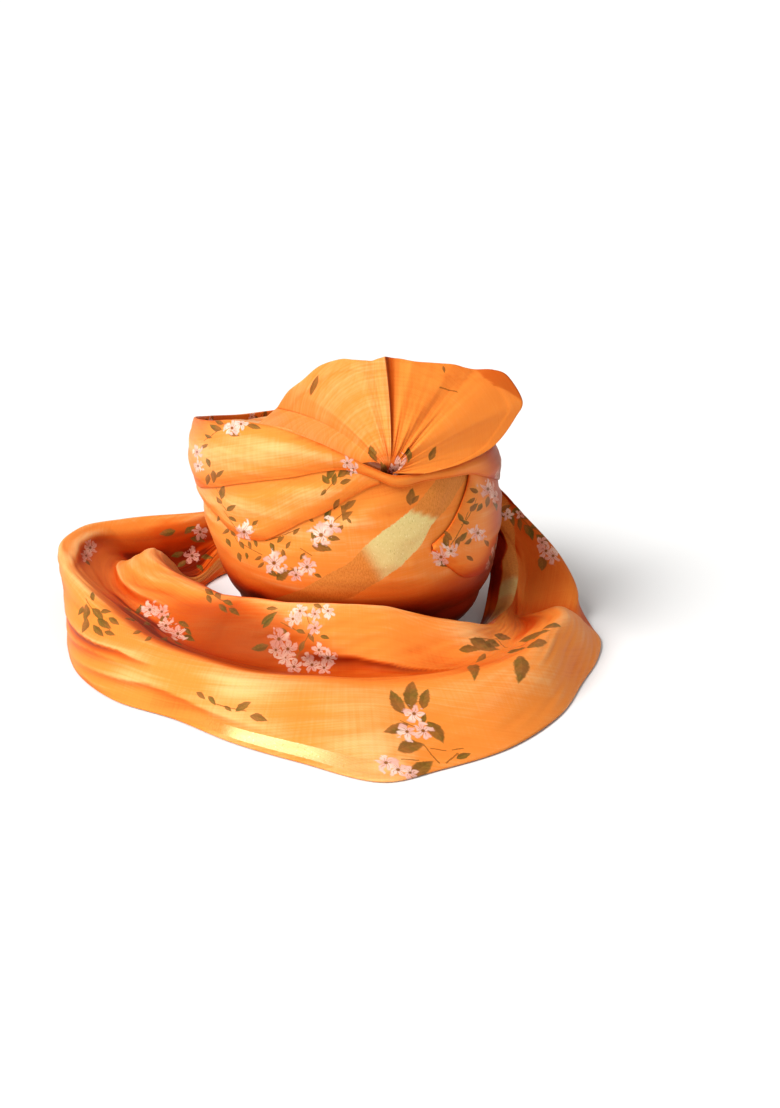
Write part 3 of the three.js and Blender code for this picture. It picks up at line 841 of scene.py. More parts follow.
def print_maps(piece, points, places, order, seen, sprays):
    """Lays the print on a piece. Each printed leaf, blossom and stem gets its own place on a
    map that its shape is drawn on. Marks that overlap go on different maps."""
    long, wide = points.shape[0] - 1, points.shape[1] - 1
    number = np.arange((long + 1) * (wide + 1)).reshape(long + 1, wide + 1)
    quads = np.stack([number[:-1, :-1], number[1:, :-1], number[1:, 1:], number[:-1, 1:]], -1)
    tree = BVHTree.FromPolygons(points.reshape(-1, 3).tolist(),
                                quads.reshape(-1, 4).tolist())
    marks = {kind: [] for kind in PRINT_MAPS}
    for kind, *lines in seen:
        for line in lines:
            mark = mark_on_cloth(tree, points, places, kind, *line)
            if mark:
                marks[kind].append(mark)
    for kind, start, end in sprays:
        marks[kind].append(flat_mark(kind, np.array(start), np.array(end)))
    faces = places.reshape(-1, 2)[order].reshape(-1, 4, 2)
    for kind, (names, narrow) in PRINT_MAPS.items():
        maps = [np.full(faces.shape, EMPTY) for _ in names]
        nearest = [np.full(len(faces), 1e9) for _ in names]
        laid = [[] for _ in names]
        for middle, sides in marks[kind]:
            if kind == "stem":
                along = sides[:, 0]
                beside = np.array([-along[1], along[0]]) / np.linalg.norm(along)
                sides = np.stack([along, beside * STEM_HALF], 1)
            size = np.linalg.norm(sides, axis=0).max()
            room = [min([np.linalg.norm(middle - other) / (size + its_size)
                         for other, its_size in layer], default=9) for layer in laid]
            layer = int(np.argmax(room))
            laid[layer].append((middle, size))
            local = (faces - middle) @ np.linalg.inv(sides).T
            away = np.hypot(local[..., 0], local[..., 1] / narrow)
            if kind == "stem":
                inside = ((np.abs(local[..., 0]).min(1) < STEM_ENDS)
                          & (local[..., 1].min(1) < STEM_SIDES)
                          & (local[..., 1].max(1) > -STEM_SIDES))
            else:
                inside = away.min(1) < MARK_ROOM
            far = away.mean(1)
            take = inside & (far < nearest[layer])
            nearest[layer][take] = far[take]
            maps[layer][take] = local[take]
        for name, values in zip(names, maps):
            write_map(piece, name, values.reshape(-1, 2))


def printed_cloth(name, points, places, seen, sprays, **values):
    """A cloth's mesh with its map, its print and the values that its shades are made from."""
    piece, i, j = grid_piece(name, points)
    order = corners(piece)
    write_map(piece, "cloth", places[i, j][order])
    for title, numbers in values.items():
        write_value(piece, title, np.broadcast_to(numbers, points.shape[:2])[i, j])
    # The corners' order names points of the grid, so this comes before points are merged
    print_maps(piece, points, places, (i * points.shape[1] + j)[order], seen, sprays)
    return piece


def leaf_print(group, place, wobble):
    """A printed leaf: pointed at both ends, darker on one side of its midrib, in brush strokes
    that run out towards its edge."""
    u, v, _ = place.parts()
    wobble = (wobble - 0.5) * 0.75
    v = v + (1.0 - u * u) * 0.10
    width = (1.0 - u * u) * (LEAF_SHAPE - u * 0.14) * (1.0 + wobble)
    side = v.ramp(-0.08, 0.08)
    rib = abs(v).ramp(0.015, 0.06, 0.25, 0.0)
    stroke = worked_out(group, "SINE", (u - abs(v) * 1.2) * 17.0 + wobble * 9.0)
    return {"Mask": (width - abs(v)).ramp(-0.02, 0.12),
            "Tone": side * 0.4 + rib + stroke * 0.14 + wobble * 1.2}


def bloom_print(group, place, wobble, bend):
    """A printed blossom: five pointed petals of uneven size, with veins and darker gaps round a
    small dark heart."""
    u, v, _ = place.parts()
    wobble = (wobble - 0.5) * 0.7
    bend = (bend - 0.5) * 2.4
    angle = worked_out(group, "ARCTAN2", v, u) + (wobble * 0.7 + bend)
    radius = worked_out(group, "SQRT", u * u + v * v)
    petal = abs(worked_out(group, "COSINE", angle * 2.5))
    shape = 0.3 + worked_out(group, "POWER", petal, 0.8) * 0.72
    inside = shape * (1.0 + (wobble + bend * 0.35)) - radius
    veins = worked_out(group, "MAXIMUM", petal.ramp(0.96, 0.997), petal.ramp(0.42, 0.1))
    return {"Mask": inside.ramp(-0.04, 0.14), "Vein": veins * radius.ramp(0.75, 0.35),
            "Heart": radius.ramp(0.22, 0.10), "Rim": inside.ramp(0.2, 0.03)}


LEAF_PRINT = new_group("printed_leaf", {"Place": "Vector", "Wobble": "Float"}, leaf_print)
BLOOM_PRINT = new_group("printed_blossom",
                        {"Place": "Vector", "Wobble": "Float", "Bend": "Float"}, bloom_print)


# The silk's own colour is the middle one; the others are painted light and shade: a painted
# highlight on crests, painted shade in valleys, and painted shade in hollows, deepest where least
# of the room is open
SILK_CREST_HIGHLIGHT, SILK_MIDDLE = linear(247, 181, 115), linear(240, 134, 52)
SILK_VALLEY_SHADE = linear(216, 78, 10)
SILK_HOLLOW_SHADE, SILK_DEEP_HOLLOW_SHADE = linear(222, 84, 12), linear(132, 34, 8)
# What shade does to the cloth and its print, as shares of red, green and blue
HALF_DARK, FULL_DARK = (0.62, 0.32, 0.15, 1), (0.38, 0.19, 0.4, 1)
LEAF_FULL_DARK = (0.4, 0.3, 0.3, 1)
PETAL_HALF_DARK, PETAL_FULL_DARK = (0.86, 0.68, 0.6, 1), (0.5, 0.4, 0.4, 1)
PRINT_COVERS = 0.88
SILK_THREADS, SILK_BUMP = 2600.0, 0.0004


def gold_stripe(tree, cloth):
    """A woven stripe of gold thread: how far it covers the silk, where it catches the light, with a
    painted highlight there, and its colour.
    """
    shine = point_value(tree, "stripe_shine")
    edge = noise(cloth, (400, 400, 1), 2) - 0.5
    inside = 1.0 - abs(point_value(tree, "stripe")) + edge * 0.16
    band = inside.ramp(0.0, 0.07) * point_value(tree, "stripe_shown")
    specks = noise(cloth, (900, 340, 1), 3, 0.7)
    # Painted highlight: pale gold with bright glints where the stripe catches the light, plain gold
    # elsewhere
    pale = mix(specks.ramp(0.58, 0.74), linear(229, 205, 136), linear(176, 150, 62))
    pale = mix(specks.ramp(0.42, 0.28), pale, linear(255, 242, 190))
    dull = mix(specks.ramp(0.4, 0.65), linear(222, 128, 48), linear(204, 108, 34))
    return band, shine, mix(shine, dull, pale)


def silk_material(name, stripe=False):
    """Fine silky cloth with painted highlights on its crests, painted shade in its folds and its
    hollows and painted shadow where the shadow value sets it, with the print on it and, where
    stripe is set, a woven stripe of pale gold thread."""
    material, tree, inputs = new_material(name)
    cloth = map_value(tree, "cloth")
    woven = placed(tree, WEAVE, Cloth=cloth, Threads=SILK_THREADS)
    streak = woven["Streak"]
    drift = noise(cloth, (6, 16, 1), 4, 0.6) - 0.5
    # Painted highlight on crests and painted shade in valleys from the fold value, with uneven tone
    # from the drift and the yarn's streaks
    shade = point_value(tree, "fold") + drift * 0.9 + (streak - 0.5) * 0.8
    colour = mix(shade.ramp(0.0, 0.75), SILK_MIDDLE, SILK_CREST_HIGHLIGHT)
    colour = mix(shade.ramp(0.05, -0.8), colour, SILK_VALLEY_SHADE)
    # Painted shade in hollows, where little of the room is open
    free = point_value(tree, "open") + drift * 0.12
    colour = mix(free.ramp(0.72, 0.38), colour, SILK_HOLLOW_SHADE)
    colour = mix(free.ramp(0.44, 0.14, 0.0, 0.85), colour, SILK_DEEP_HOLLOW_SHADE)
    metal = 0.0
    if stripe:
        band, shine, gold = gold_stripe(tree, cloth)
        colour = mix(band, colour, gold)
        metal = band * shine * 0.35
    dark = point_value(tree, "shadow")
    dark = dark + drift * (dark * 0.5)
    half_dark, full_dark = dark.ramp(0.0, 0.55), dark.ramp(0.45, 1.0)
    colour = mix(half_dark, colour, HALF_DARK, "MULTIPLY")
    colour = mix(full_dark, colour, FULL_DARK, "MULTIPLY")

    tint = noise(cloth, (60, 60, 1), 3)
    ragged = noise(cloth, (300, 300, 1), 3, 0.6)
    bend = noise(cloth, (110, 110, 1), 2)
    along, side, _ = map_value(tree, "stem").parts()
    line = abs(side + (ragged - 0.5) * 2.2)
    stem = line.ramp(1.0, 0.5) * abs(along).ramp(1.02, 0.95)
    colour = mix(stem * 0.75, colour, linear(128, 74, 22))
    leaf_tint = tint.ramp(0.35, 0.62)
    leaf_dark = mix(leaf_tint, linear(74, 66, 22), linear(116, 74, 32))
    leaf_pale = mix(leaf_tint, linear(120, 102, 38), linear(156, 98, 44))
    for leaf_map in PRINT_MAPS["leaf"][0]:
        leaf = placed(tree, LEAF_PRINT, Place=map_value(tree, leaf_map), Wobble=ragged)
        green = mix(leaf["Tone"], leaf_dark, leaf_pale)
        green = mix(full_dark, green, LEAF_FULL_DARK, "MULTIPLY")
        colour = mix(leaf["Mask"] * PRINT_COVERS, colour, green)
    petal_pale = mix(tint.ramp(0.3, 0.65), linear(244, 216, 198), linear(228, 166, 152))
    for bloom_map in PRINT_MAPS["bloom"][0]:
        bloom = placed(tree, BLOOM_PRINT, Place=map_value(tree, bloom_map), Wobble=ragged,
                       Bend=bend)
        petal = mix(bloom["Rim"] * 0.45, petal_pale, linear(214, 138, 120))
        petal = mix(bloom["Vein"] * 0.7, petal, linear(168, 92, 70))
        petal = mix(bloom["Heart"], petal, linear(122, 70, 30))
        petal = mix(half_dark, petal, PETAL_HALF_DARK, "MULTIPLY")
        petal = mix(full_dark, petal, PETAL_FULL_DARK, "MULTIPLY")
        colour = mix(bloom["Mask"] * PRINT_COVERS, colour, petal)
    feed(tree, inputs, {
        "Base Color": colour, "Roughness": streak * 0.14 + 0.42, "Metallic": metal,
        "Sheen Weight": 0.02, "Sheen Roughness": 0.35, "Sheen Tint": linear(255, 206, 140),
        "Specular IOR Level": 0.2, "Specular Tint": linear(255, 196, 120),
        "Subsurface Weight": 0.12, "Subsurface Radius": (0.006, 0.0022, 0.0006),
        "Subsurface Scale": 1.0, "Normal": bumped(woven["Height"], 0.22, SILK_BUMP)})
    return material


SILK = silk_material("turban_silk")
STRIPED_SILK = silk_material("striped_silk", stripe=True)

# The print on the crown where the camera sees it: leaves from foot to tip, blossoms from heart
# to petal tip and stems from end to end, in the photograph's pixels. A fifth number makes a leaf
# plumper or slimmer.
CROWN_PRINT = [
    # Along the rim at the left and down the left side
    ("bloom", (232, 428, 240, 425), (241, 424, 248, 423), (197, 452, 203, 449),
     (198, 466, 204, 463)),
    ("leaf", (222, 430, 208, 424), (228, 434, 240, 436), (246, 425, 262, 429, 0.8),
     (224, 424, 214, 420), (212, 438, 204, 434), (208, 444, 199, 448), (206, 458, 210, 468),
     (212, 470, 214, 484), (216, 478, 224, 470), (208, 474, 206, 486), (222, 500, 224, 484),
     (226, 512, 237, 505), (228, 517, 237, 522), (222, 504, 216, 496), (221, 514, 216, 522),
     (230, 528, 222, 534), (226, 538, 230, 548)),
    ("stem", (218, 430, 204, 442), (218, 486, 224, 512), (224, 512, 240, 534)),
    # Under the fan's root, at the left
    ("leaf", (330, 484, 322, 474, 1.2), (334, 486, 336, 472), (338, 478, 352, 466),
     (344, 474, 362, 469, 0.8), (328, 480, 336, 463), (340, 484, 352, 480), (326, 489, 320, 496)),
    ("bloom", (347, 463, 353, 460), (353, 469, 358, 466)),
    ("stem", (322, 496, 340, 474)),
    # The sprig between the two wraps at the front
    ("leaf", (334, 521, 350, 503), (338, 521, 354, 512), (328, 519, 326, 507), (344, 510, 357, 500),
     (346, 518, 352, 524), (334, 510, 340, 498), (311, 546, 333, 551), (327, 538, 341, 540),
     (325, 522, 332, 508), (336, 532, 346, 525), (311, 532, 316, 543), (314, 522, 308, 516)),
    ("bloom", (321, 535, 333, 531), (331, 526, 340, 522)),
    ("stem", (326, 530, 356, 500)),
    # The chain along the lower left
    ("bloom", (244, 532, 253, 530), (274, 563, 285, 560), (307, 567, 316, 564),
     (296, 575, 303, 572)),
    ("leaf", (239, 541, 244, 550), (248, 541, 251, 550), (254, 539, 257, 548), (238, 552, 240, 563),
     (246, 552, 247, 560), (236, 536, 230, 530), (252, 526, 259, 520), (270, 542, 274, 553),
     (282, 549, 284, 560), (293, 535, 300, 528), (277, 543, 285, 536), (286, 549, 291, 541),
     (262, 556, 254, 560), (267, 571, 278, 577), (276, 580, 291, 571, 1.5), (264, 562, 257, 568),
     (300, 560, 306, 552), (288, 575, 300, 569), (314, 574, 322, 578)),
    ("stem", (228, 525, 238, 542), (238, 542, 262, 555), (265, 541, 282, 536), (282, 536, 300, 528),
     (300, 548, 312, 556), (290, 568, 306, 572)),
    # The leaf over the stripe
    ("leaf", (411, 506, 413, 487, 1.2), (412, 504, 420, 495)),
    # The side wrap
    ("bloom", (488, 489, 497, 486), (495, 496, 501, 500), (478, 533, 486, 530),
     (441, 557, 450, 555), (451, 551, 458, 548)),
    ("leaf", (480, 492, 469, 488), (488, 496, 486, 508), (494, 500, 498, 512), (476, 498, 466, 503),
     (482, 503, 476, 512), (472, 538, 464, 545), (484, 540, 490, 548), (470, 524, 461, 520),
     (446, 548, 448, 534, 1.1), (456, 548, 461, 536), (452, 540, 444, 530), (436, 562, 448, 567),
     (460, 542, 468, 532), (464, 522, 458, 512), (470, 512, 479, 503), (466, 556, 474, 562)),
    ("stem", (478, 500, 462, 528), (450, 546, 470, 514)),
]

# The gold stripe's two edges on the wrap under the side wrap: turn, height in mm
STRIPE_UPPER = [(-70, 30), (-43, 60), (-20, 83), (-7, 102), (1, 113), (7, 127), (15, 140),
                (25, 153), (32, 164), (40, 175), (52, 190)]
STRIPE_LOWER = [(-60, 24), (-23, 66), (-1, 78), (11, 93), (20, 106), (28, 120), (33, 135),
                (41, 146), (49, 159), (57, 167), (70, 182)]
# The stripe catches the light between two lines across it: turn and height in mm of each line
SHINE_FROM = ((7.7, 127), (13.6, 97))
SHINE_TO = ((24, 153), (36, 139))
SPRAY_STEPS, BLOOM_SHARE = 5, 0.7
SPRAY_SIZE, SPRAYS_APART = 0.0115, 0.085
STRIPE_ENDS = 62
STRIPE_FAR = 3
MM_EACH_DEGREE = 2.36


def past_line(turn, z, line):
    """How far a place on the crown is past a line, in mm, on the side of the larger turns."""
    (t0, z0), (t1, z1) = line
    side = np.array([(t1 - t0) * MM_EACH_DEGREE, z1 - z0])
    side = side / np.linalg.norm(side)
    return (turn - t0) * MM_EACH_DEGREE * -side[1] + (z / MM - z0) * side[0]


def spray(draw, x, y, size, tilt):
    """A printed sprig on the flat cloth: a bent stem with leaves along it and blossoms."""
    def way(turn):
        return np.array([math.cos(turn), math.sin(turn)])

    marks, heading, spot = [], tilt, np.array([x, y])
    for _ in range(SPRAY_STEPS):
        end = spot + size * draw.uniform(0.7, 1.1) * way(heading)
        marks.append(("stem", spot, end))
        for side in (1, -1):
            turn = heading + side * draw.uniform(0.6, 1.1)
            marks.append(("leaf", spot, spot + size * draw.uniform(0.8, 1.2) * way(turn)))
        if draw.uniform() < BLOOM_SHARE:
            heart = spot + size * 0.8 * way(heading + draw.uniform(-1.4, 1.4))
            marks.append(("bloom", heart, heart + [size * draw.uniform(0.45, 0.62), 0]))
        spot = end
        heading += draw.uniform(-0.7, 0.7)
    return marks


def sprays(seed, areas):
    """Sprigs over areas of the flat cloth that the camera doesn't see, each area as
    (first along, last along, first across, last across)."""
    draw = np.random.RandomState(seed)
    marks = []
    for x0, x1, y0, y1 in areas:
        x = x0 + draw.uniform(0, SPRAYS_APART)
        while x < x1:
            y = draw.uniform(y0, y1)
            marks += spray(draw, x, y, SPRAY_SIZE, draw.uniform(0, 2 * math.pi))
            x += SPRAYS_APART * draw.uniform(0.8, 1.2)
    return marks


def crown_shadow(turn, z):
    """The depth of colour low on the crown, where the tail and its own swell keep the light
    off, and on its right side."""
    turn = np.mod(turn + 180, 360) - 180
    low = 1 - smooth(z / MM, 60, 101 - 0.1 * np.abs(turn - 10))
    low = low * (1 - 0.7 * smooth(np.abs(turn), 80, 130))
    right = smooth(turn, 52, 82) * (1 - smooth(turn, 120, 150))
    return np.clip(0.95 * low + 0.7 * right, 0, 1)


def crown_stripe(turn, z):
    """Where the stripe lies on the wrap that carries it, from -1 to 1 across it, and how much
    it catches the light."""
    top, bottom = read(STRIPE_UPPER, 1, turn) * MM, read(STRIPE_LOWER, 1, turn) * MM
    across = (z - bottom) / np.maximum(top - bottom, MM) * 2 - 1
    across = np.where(np.abs(turn) < STRIPE_ENDS, across, STRIPE_FAR)
    shine = (smooth(past_line(turn, z, SHINE_FROM), -11, 4)
             * (1 - smooth(past_line(turn, z, SHINE_TO), -1.5, 2)))
    return {"stripe": np.clip(across, -STRIPE_FAR, STRIPE_FAR), "stripe_shown": 1.0,
            "stripe_shine": 0.06 + 0.94 * shine}


# The hidden sides of the wraps, as turns round the crown
WRAP_BACKS = {
    "brim_wrap": (80, 280), "gold_wrap": (85, 275), "side_wrap": (85, 195),
    "middle_wrap": (-172, -88), "upper_wrap": (88, 272),
}

for wrap_number, (wrap_name, _, wrap_first, _) in enumerate(WRAPS):
    wrap_grid, wrap_turn, wrap_z, wrap_full, wrap_closed = wrap_points(wrap_number)
    wrap_places = cloth_places(wrap_grid)
    # Painted light and shade for the silk: highlight and shade by the folds, shade in hollows, and
    # painted shadow low on the crown and on its right side
    wrap_values = {
        "fold": np.clip((wrap_full - FOLD_MEAN) / FOLD_RANGE, -1, 1),
        "open": open_share(wrap_grid),
        "shadow": crown_shadow(wrap_turn, wrap_z),
    }
    # The upper wrap gets only a little painted shade of hollows
    if wrap_name == "upper_wrap":
        wrap_values["open"] = 0.85 + 0.15 * wrap_values["open"]
    striped = wrap_name == "gold_wrap"
    if striped:
        wrap_values |= crown_stripe(np.mod(wrap_turn + 180, 360) - 180, wrap_z)
    first, last = WRAP_BACKS[wrap_name]
    rows = (np.array([first, last]) - (wrap_first or 0)).astype(int)
    span = wrap_places[rows, 0, 0]
    width = wrap_places[int(rows.mean()), :, 1].max()
    back = [(span[0], span[1], width * 0.2, width * 0.45),
            (span[0] + 0.03, span[1], width * 0.55, width * 0.8)]
    wrap = printed_cloth(wrap_name + "_cloth", wrap_grid, wrap_places, CROWN_PRINT,
                         sprays(7 + wrap_number, back), **wrap_values)
    if wrap_closed:
        close_seams(wrap)
    finish_sheet(wrap, CLOTH, STRIPED_SILK if striped else SILK)
    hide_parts(wrap_name)


# The cloth over the top
# The last turns of cloth are brought over the dome inside the rim and tucked down at its edge,
# so soft folds cross from side to side.

TOP_CLOTH = 0.0024
TOP_GAP = 0.0005
TOP_REACH = 0.95
TOP_FOLD, TOP_FOLD_WIDTH = 0.0022, 0.016
TOP_CROSS_FOLD, TOP_CROSS_WIDTH = 0.0016, 0.034
TOP_FOLD_MEAN = 0.0018
TOP_ROLL = 0.0012
TOP_THICK = 0.0016


def top_points():
    turns = np.linspace(0, 360, 181)
    rows = []
    for share in np.linspace(0, 1, 56):
        reach = TOP_REACH * share
        point = dome_point(turns, np.full_like(turns, reach))
        x = point[:, 0] - AXIS[0]
        y = point[:, 1] - AXIS[1]
        slope = x * 0.5 + y * 0.86
        other = x * 0.86 - y * 0.5
        waved = np.abs(np.sin(slope / TOP_FOLD_WIDTH + 0.8 * np.sin(other / 0.04)))
        crossed = np.abs(np.sin(other / TOP_CROSS_WIDTH + 0.6 + 0.5 * np.sin(slope / 0.05)))
        folds = TOP_FOLD * waved**1.3 + TOP_CROSS_FOLD * crossed
        rolled = -TOP_ROLL * smooth(share, 0.93, 1.0)
        point[:, 2] += TOP_GAP + TOP_CLOTH + folds * smooth(share, 0, 0.1) + rolled
        rows.append(np.column_stack([point, np.clip(folds / TOP_FOLD_MEAN - 1, -1, 1)]))
    grid = np.stack(rows, 1)[:, ::-1]
    return grid[..., :3], grid[..., 3]


top_grid, top_fold = top_points()
top_places = top_grid[..., :2] - top_grid[0, -1, :2]
top_hidden = [(-0.09, 0.08, -0.08, -0.02), (-0.08, 0.08, 0.02, 0.08)]
# The top cloth's painted light and shade: a faint painted shadow all over, less painted shade of
# hollows, and highlight and shade by its folds
top_cloth = printed_cloth("top_cloth", top_grid, top_places, [], sprays(31, top_hidden),
                          open=0.6 + 0.4 * open_share(top_grid), shadow=0.12,
                          fold=0.1 + 0.5 * top_fold)
close_seams(top_cloth)
finish_sheet(top_cloth, TOP_THICK, SILK)
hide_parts("top_wrap")


# The fan
# The end of the cloth, pleated and gathered at the front of the rim. Its free folds stand up,
# spread to both sides and lean back over the crown.

FAN_THICK = 0.0008
FAN_REACH = 0.120
FAN_ROOT = 0.009
FAN_ROOT_ANGLE = 20.0
FAN_ROOT_OUT = 0.005
FAN_ROOT_RISE = 0.0015
FAN_RISE_BEND = 0.9
FAN_BACK_BEND = 1.15

# across, back, up, arch
FAN_FOLDS = [
    (-0.82, 0.75, 0.26, 0.09), (-0.73, 0.63, 0.42, 0.06), (-0.62, 0.5, 0.53, 0.03),
    (-0.495, 0.4, 0.645, 0.02), (-0.34, 0.33, 0.71, 0.01), (-0.25, 0.38, 0.715, 0.02),
    (-0.18, 0.28, 0.71, 0.01), (-0.127, 0.25, 0.705, 0), (-0.088, 0.34, 0.72, 0),
    (-0.03, 0.43, 0.735, 0), (0.017, 0.36, 0.725, 0), (0.063, 0.35, 0.714, 0),
    (0.13, 0.42, 0.7, 0), (0.2, 0.34, 0.693, 0), (0.275, 0.4, 0.69, 0), (0.354, 0.33, 0.682, 0),
    (0.44, 0.38, 0.669, 0), (0.52, 0.35, 0.636, 0), (0.596, 0.48, 0.614, 0.01),
    (0.72, 0.57, 0.603, 0.02), (0.83, 0.6, 0.553, 0.03), (0.94, 0.63, 0.372, 0.04),
    (0.89, 0.55, 0.261, 0.04), (0.787, 0.45, 0.128, 0.03), (0.68, 0.34, 0.057, 0.02),
    (0.484, 0.2, -0.004, 0.01), (0.26, 0.07, -0.03, 0),
]
FAN_TABLE = [(number, *row) for number, row in enumerate(FAN_FOLDS)]

# The fan's pleats: where one stands among the folds at the root and at the top edge, how wide
# it is to its left and to its right, how high it stands at the root and at the top, in mm, and
# how dark the painted shadow is just to its right
FAN_PLEATS = [
    (9.9, 8.7, 3.4, 0.32, 3.5, 3.6, 0.75), (11.6, 12.2, 1.2, 0.8, 3.0, 0.6, 0.15),
    (13.6, 16.6, 1.6, 1.3, 2.8, 1.2, 0.06), (17.0, 18.6, 1.6, 1.0, 2.6, 0.9, 0.06),
    (6.0, 3.6, 1.6, 1.4, 2.6, 0.4, 0.05), (19.6, 21.6, 1.4, 1.3, 2.2, 0.6, 0.05),
]
SKIRT = 6
FAN_TUCK = 0.010
STEPS_EACH_FOLD, STEPS_ALONG_FOLD = 12, 70
BEHIND_RIM_DROP, BEHIND_RIM_IN = 0.008, 0.009
GATHER, SOFT_FOLD, FINE_FOLD, FAN_HEM = 0.0013, 0.0008, 0.0002, 0.0006
TOWARDS_CROWN = 0.25
FAN_SPREAD = 0.16
FAN_PAINTED_SHADE, FAN_FOLD_SCALE = 0.42, 0.003


def fan_points():
    turn = np.array(FAN_ROOT_ANGLE)
    root_z = rim(turn)
    root = crown_point(turn, root_z) + crown_normal(turn, root_z) * FAN_ROOT_OUT
    root[2] += FAN_ROOT_RISE
    last = len(FAN_FOLDS) - 1
    folds = np.linspace(-SKIRT, last, (last + SKIRT) * STEPS_EACH_FOLD + 1)[:, None]
    start = FAN_ROOT / FAN_REACH
    share = start + (1 - start) * np.linspace(0, 1, STEPS_ALONG_FOLD + 1)[None, :]

    def column(number, place):
        """A column of the table with its small zigzag drawn smooth."""
        steps = np.arange(-3, 3.1, 0.5)
        return sum(read(FAN_TABLE, place, np.clip(number + n, 0, last)) for n in steps) / len(steps)

    def broad(number, reach):
        number = np.clip(number, 0, last)
        edge = smooth(np.minimum(number, last - number), 0.0, 3.5)
        across = read(FAN_TABLE, 1, number)
        back = read(FAN_TABLE, 2, number) * (1 - edge) + column(number, 2) * edge
        up = read(FAN_TABLE, 3, number)
        arch = read(FAN_TABLE, 4, number)
        return np.stack([
            across * reach, back * reach**FAN_BACK_BEND,
            up * reach**FAN_RISE_BEND + arch * np.sin(np.pi * reach)], -1) * FAN_REACH + root

    points = broad(folds, share)
    # Left of the first fold the cloth runs on down behind the front rim, where it is tucked in
    skirt = smooth(-folds / SKIRT, 0, 1)
    rim_turn = np.degrees(np.arcsin(math.sin(math.radians(FAN_ROOT_ANGLE)) - 0.925 * share))
    behind = crown_point(rim_turn, rim(rim_turn) - BEHIND_RIM_DROP, BEHIND_RIM_IN)
    points = points + (behind - points) * (skirt * smooth(share, start, 0.25))[..., None]
    face = unit(np.cross(broad(folds + 2.5, share) - broad(folds - 2.5, share), points - root))
    relief = np.zeros(share.shape) + 0 * folds
    shadow = np.zeros(share.shape) + 0 * folds
    for low, high, left, right, at_root, at_top, dark in FAN_PLEATS:
        middle = low + (high - low) * share
        away = folds - middle
        width = np.where(away < 0, left, right) * (0.45 + 0.55 * share)
        height = (at_root * (1 - share) ** 1.5 + at_top * share) * smooth(share, start, 0.22)
        relief = relief + height * MM * np.exp(-(away / width) ** 2)
        past = (away - 0.5 * right) / (2.2 * right + 0.6)
        shadow = shadow + dark * np.exp(-past**2) * smooth(away, -0.2 * right, 0.4 * right)
    gathers = GATHER * np.sin(folds * 4.1 + 0.9 * np.sin(folds * 1.3)) * np.exp(-6.0 * share)
    soft = SOFT_FOLD * np.sin(folds * 0.95 + 2.2 * share + 0.5) * smooth(share, 0.15, 0.7)
    fine = FINE_FOLD * np.sin(folds * 7.3 + 6 * share) * np.exp(-1.5 * share)
    hem = FAN_HEM * smooth(share, 0.885, 0.9)
    relief = (relief + gathers * smooth(share, start, 0.2) + soft + fine) * (1 - skirt) + hem
    # Painted shade where the cloth is gathered at the root
    root_shade = 0.42 * np.exp(-((share - start) / 0.1) ** 2)
    # Painted shade on a corner of the top edge at the right makes it look turned over
    turned = np.interp(folds, [17.9, 19, 20, 21], [1.0, 0.9, 0.87, 0.99])
    corner = smooth(folds, 17.8, 18.2) * (1 - smooth(folds, 20.8, 21.2))
    shadow = shadow + 0.3 * smooth(share, turned - 0.004, turned + 0.012) * corner
    shadow = np.clip(shadow * smooth(share, start, 0.3) + root_shade, 0, 1)
    points = points + face * relief[..., None]
    # The gathered root goes on down behind the wraps
    inward = AXIS + [0, 0, root_z] - root
    into = TOWARDS_CROWN * np.array([inward[0], inward[1], 0]) / np.linalg.norm(inward[:2])
    tucks = [points[:, :1] + FAN_TUCK * drop * (into - [0, 0, 1]) for drop in (1, 0.5)]
    points = np.concatenate(tucks + [points], 1)
    more = np.ones((len(points), 2))
    return (points, np.concatenate([more * start, share + 0 * folds], 1),
            np.concatenate([more, shadow], 1))


def surface_fold(points, reach, scale):
    """How far each point stands out of the cloth round it: 1 on a crest, -1 in a valley."""
    mean = points
    for axis in (0, 1):
        pad = [(reach, reach) if n == axis else (0, 0) for n in range(3)]
        padded = np.pad(mean, pad, mode="edge")
        mean = np.lib.stride_tricks.sliding_window_view(padded, 2 * reach + 1, axis).mean(-1)
    return np.clip(((points - mean) * surface_normal(points)).sum(-1) / scale, -1, 1)


fan_grid, fan_share, fan_shadow = fan_points()
# The cloth's own places spread from the root as its folds do
fan_spread = np.linspace(-FAN_SPREAD, FAN_SPREAD, fan_grid.shape[0])[:, None]
fan_places = np.stack([fan_spread * fan_share, cloth_places(fan_grid)[..., 1]], -1)
# Right of the standing pleat the silk gets painted shade
fan_folds = np.linspace(-SKIRT, len(FAN_FOLDS) - 1, fan_grid.shape[0])[:, None]
fan_painted_shade = FAN_PAINTED_SHADE * smooth(fan_folds, 9.0, 10.5) * (1 - 0.4 * smooth(fan_folds, 16, 19))
FAN_PRINT = [
    ("leaf", (315, 388, 316, 379, 1.7), (378, 462, 368, 447), (388, 472, 380, 462),
     (408, 460, 411, 446), (430, 462, 436, 446), (443, 366, 444, 373)),
    ("bloom", (400, 466, 407, 463), (393, 470, 398, 474)),
    ("stem", (440, 388, 456, 392)),
]
# The fan's painted light and shade: highlight and shade by its crests and valleys, lifted paler
# overall, painted shade right of the standing pleat and the pleats' painted shadows; it gets no
# painted shade of hollows
fan = printed_cloth("fan_cloth", fan_grid, fan_places, FAN_PRINT, [], open=1.0, shadow=fan_shadow,
                    fold=0.25 - fan_painted_shade + 0.5 * surface_fold(fan_grid, 5, FAN_FOLD_SCALE))
finish_sheet(fan, FAN_THICK, SILK, offset=0.0)
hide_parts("fan")


# The tail
# The free end of the turban cloth. It comes out from under the upper wrap at the back right,
# hangs down the side and lies in soft folds round the crown, with a gold stripe at each edge.

